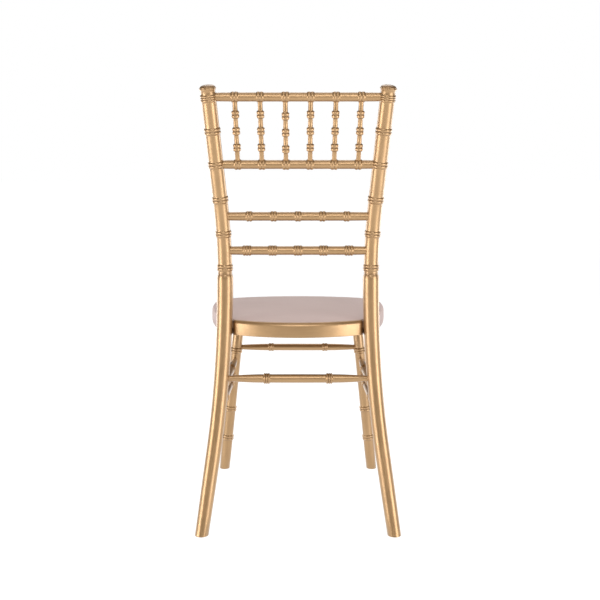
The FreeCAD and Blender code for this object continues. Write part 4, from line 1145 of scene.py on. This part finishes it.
bpy.ops.mesh.primitive_plane_add(size=FLOOR_SIZE, location=(0, 0, -FLOOR_DROP))
floor = bpy.context.object
floor.name = "studio_floor"
paper, tree, shader = new_material("studio_paper")
shader.inputs["Base Color"].default_value = PAPER_GREY
shader.inputs["Roughness"].default_value = PAPER_ROUGHNESS
shader.inputs["Specular IOR Level"].default_value = PAPER_SPECULAR
glow = tree.nodes.new("ShaderNodeEmission")
glow.inputs["Color"].default_value = STUDIO_WHITE
tree.links.new(maths(tree, "MULTIPLY", seen_directly(tree), PAPER_GLOW), glow.inputs["Strength"])
added = tree.nodes.new("ShaderNodeAddShader")
tree.links.new(shader.outputs[0], added.inputs[0])
tree.links.new(glow.outputs[0], added.inputs[1])
tree.links.new(added.outputs[0], tree.nodes["Material Output"].inputs["Surface"])
floor.data.materials.append(paper)

world = bpy.data.worlds.new("studio")
bpy.context.scene.world = world
world.use_nodes = True
tree = world.node_tree
ambient = tree.nodes["Background"]
ambient.inputs["Color"].default_value = STUDIO_WHITE
ambient.inputs["Strength"].default_value = AMBIENT
white = tree.nodes.new("ShaderNodeBackground")
white.inputs["Color"].default_value = STUDIO_WHITE
white.inputs["Strength"].default_value = 1
mixed = tree.nodes.new("ShaderNodeMixShader")
tree.links.new(seen_directly(tree), mixed.inputs[0])
tree.links.new(ambient.outputs[0], mixed.inputs[1])
tree.links.new(white.outputs[0], mixed.inputs[2])
tree.links.new(mixed.outputs[0], tree.nodes["World Output"].inputs["Surface"])

room_form = {"segments": ROOM_SEGMENTS, "ring_count": ROOM_RINGS, "radius": ROOM_RADIUS}
bpy.ops.mesh.primitive_uv_sphere_add(location=(0, 0, ROOM_HEIGHT), **room_form)
room = bpy.context.object
room.name = "studio_room"
wall, tree, shader = new_material("studio_wall")
shader.inputs["Base Color"].default_value = (0, 0, 0, 1)
shader.inputs["Specular IOR Level"].default_value = 0
shader.inputs["Emission Color"].default_value = ROOM_GLOW
shader.inputs["Emission Strength"].default_value = 1
room.data.materials.append(wall)
room.visible_camera = False
room.visible_diffuse = False
room.visible_transmission = False
room.visible_shadow = False


def softbox(name, place, size, power):
    light = bpy.data.lights.new(name, "AREA")
    light.shape = "RECTANGLE"
    light.size, light.size_y = size
    light.energy = power
    made = bpy.data.objects.new(name, light)
    made.location = place
    made.rotation_mode = "QUATERNION"
    made.rotation_quaternion = (LIGHT_AIM - Vector(place)).to_track_quat("-Z", "Y")
    bpy.context.scene.collection.objects.link(made)


for degrees, power in STRIPS:
    turn = math.radians(degrees)
    place = (STRIP_DISTANCE * math.sin(turn), STRIP_DISTANCE * math.cos(turn), STRIP_HEIGHT)
    softbox(f"strip_{degrees % 360}", place, STRIP_SIZE, power)
for name, (place, size, power) in HIGH_LIGHTS.items():
    softbox(name, place, size, power)

# Camera
# It stands behind the chair, a little above the seat, and is tilted down. The small shift
# puts the chair's middle where it is in the photograph's frame.
CAMERA_LENS = 61.91
CAMERA_SENSOR = 36
IMAGE_WIDTH = 600
CAMERA_SHIFT = 2
CAMERA_BACK = POST_LINE + 2158.7
CAMERA_HEIGHT = 776.8
CAMERA_TILT = 0.138
camera_data = bpy.data.cameras.new("camera")
camera_data.sensor_width = CAMERA_SENSOR
camera_data.lens = CAMERA_LENS
camera_data.shift_x = CAMERA_SHIFT / IMAGE_WIDTH
camera = bpy.data.objects.new("camera", camera_data)
camera.location = Vector((0, CAMERA_BACK, CAMERA_HEIGHT)) * MM
camera.rotation_euler = (math.pi / 2 - CAMERA_TILT, 0, math.pi)
bpy.context.scene.collection.objects.link(camera)
bpy.context.scene.camera = camera
bpy.context.scene.view_settings.view_transform = "Standard"
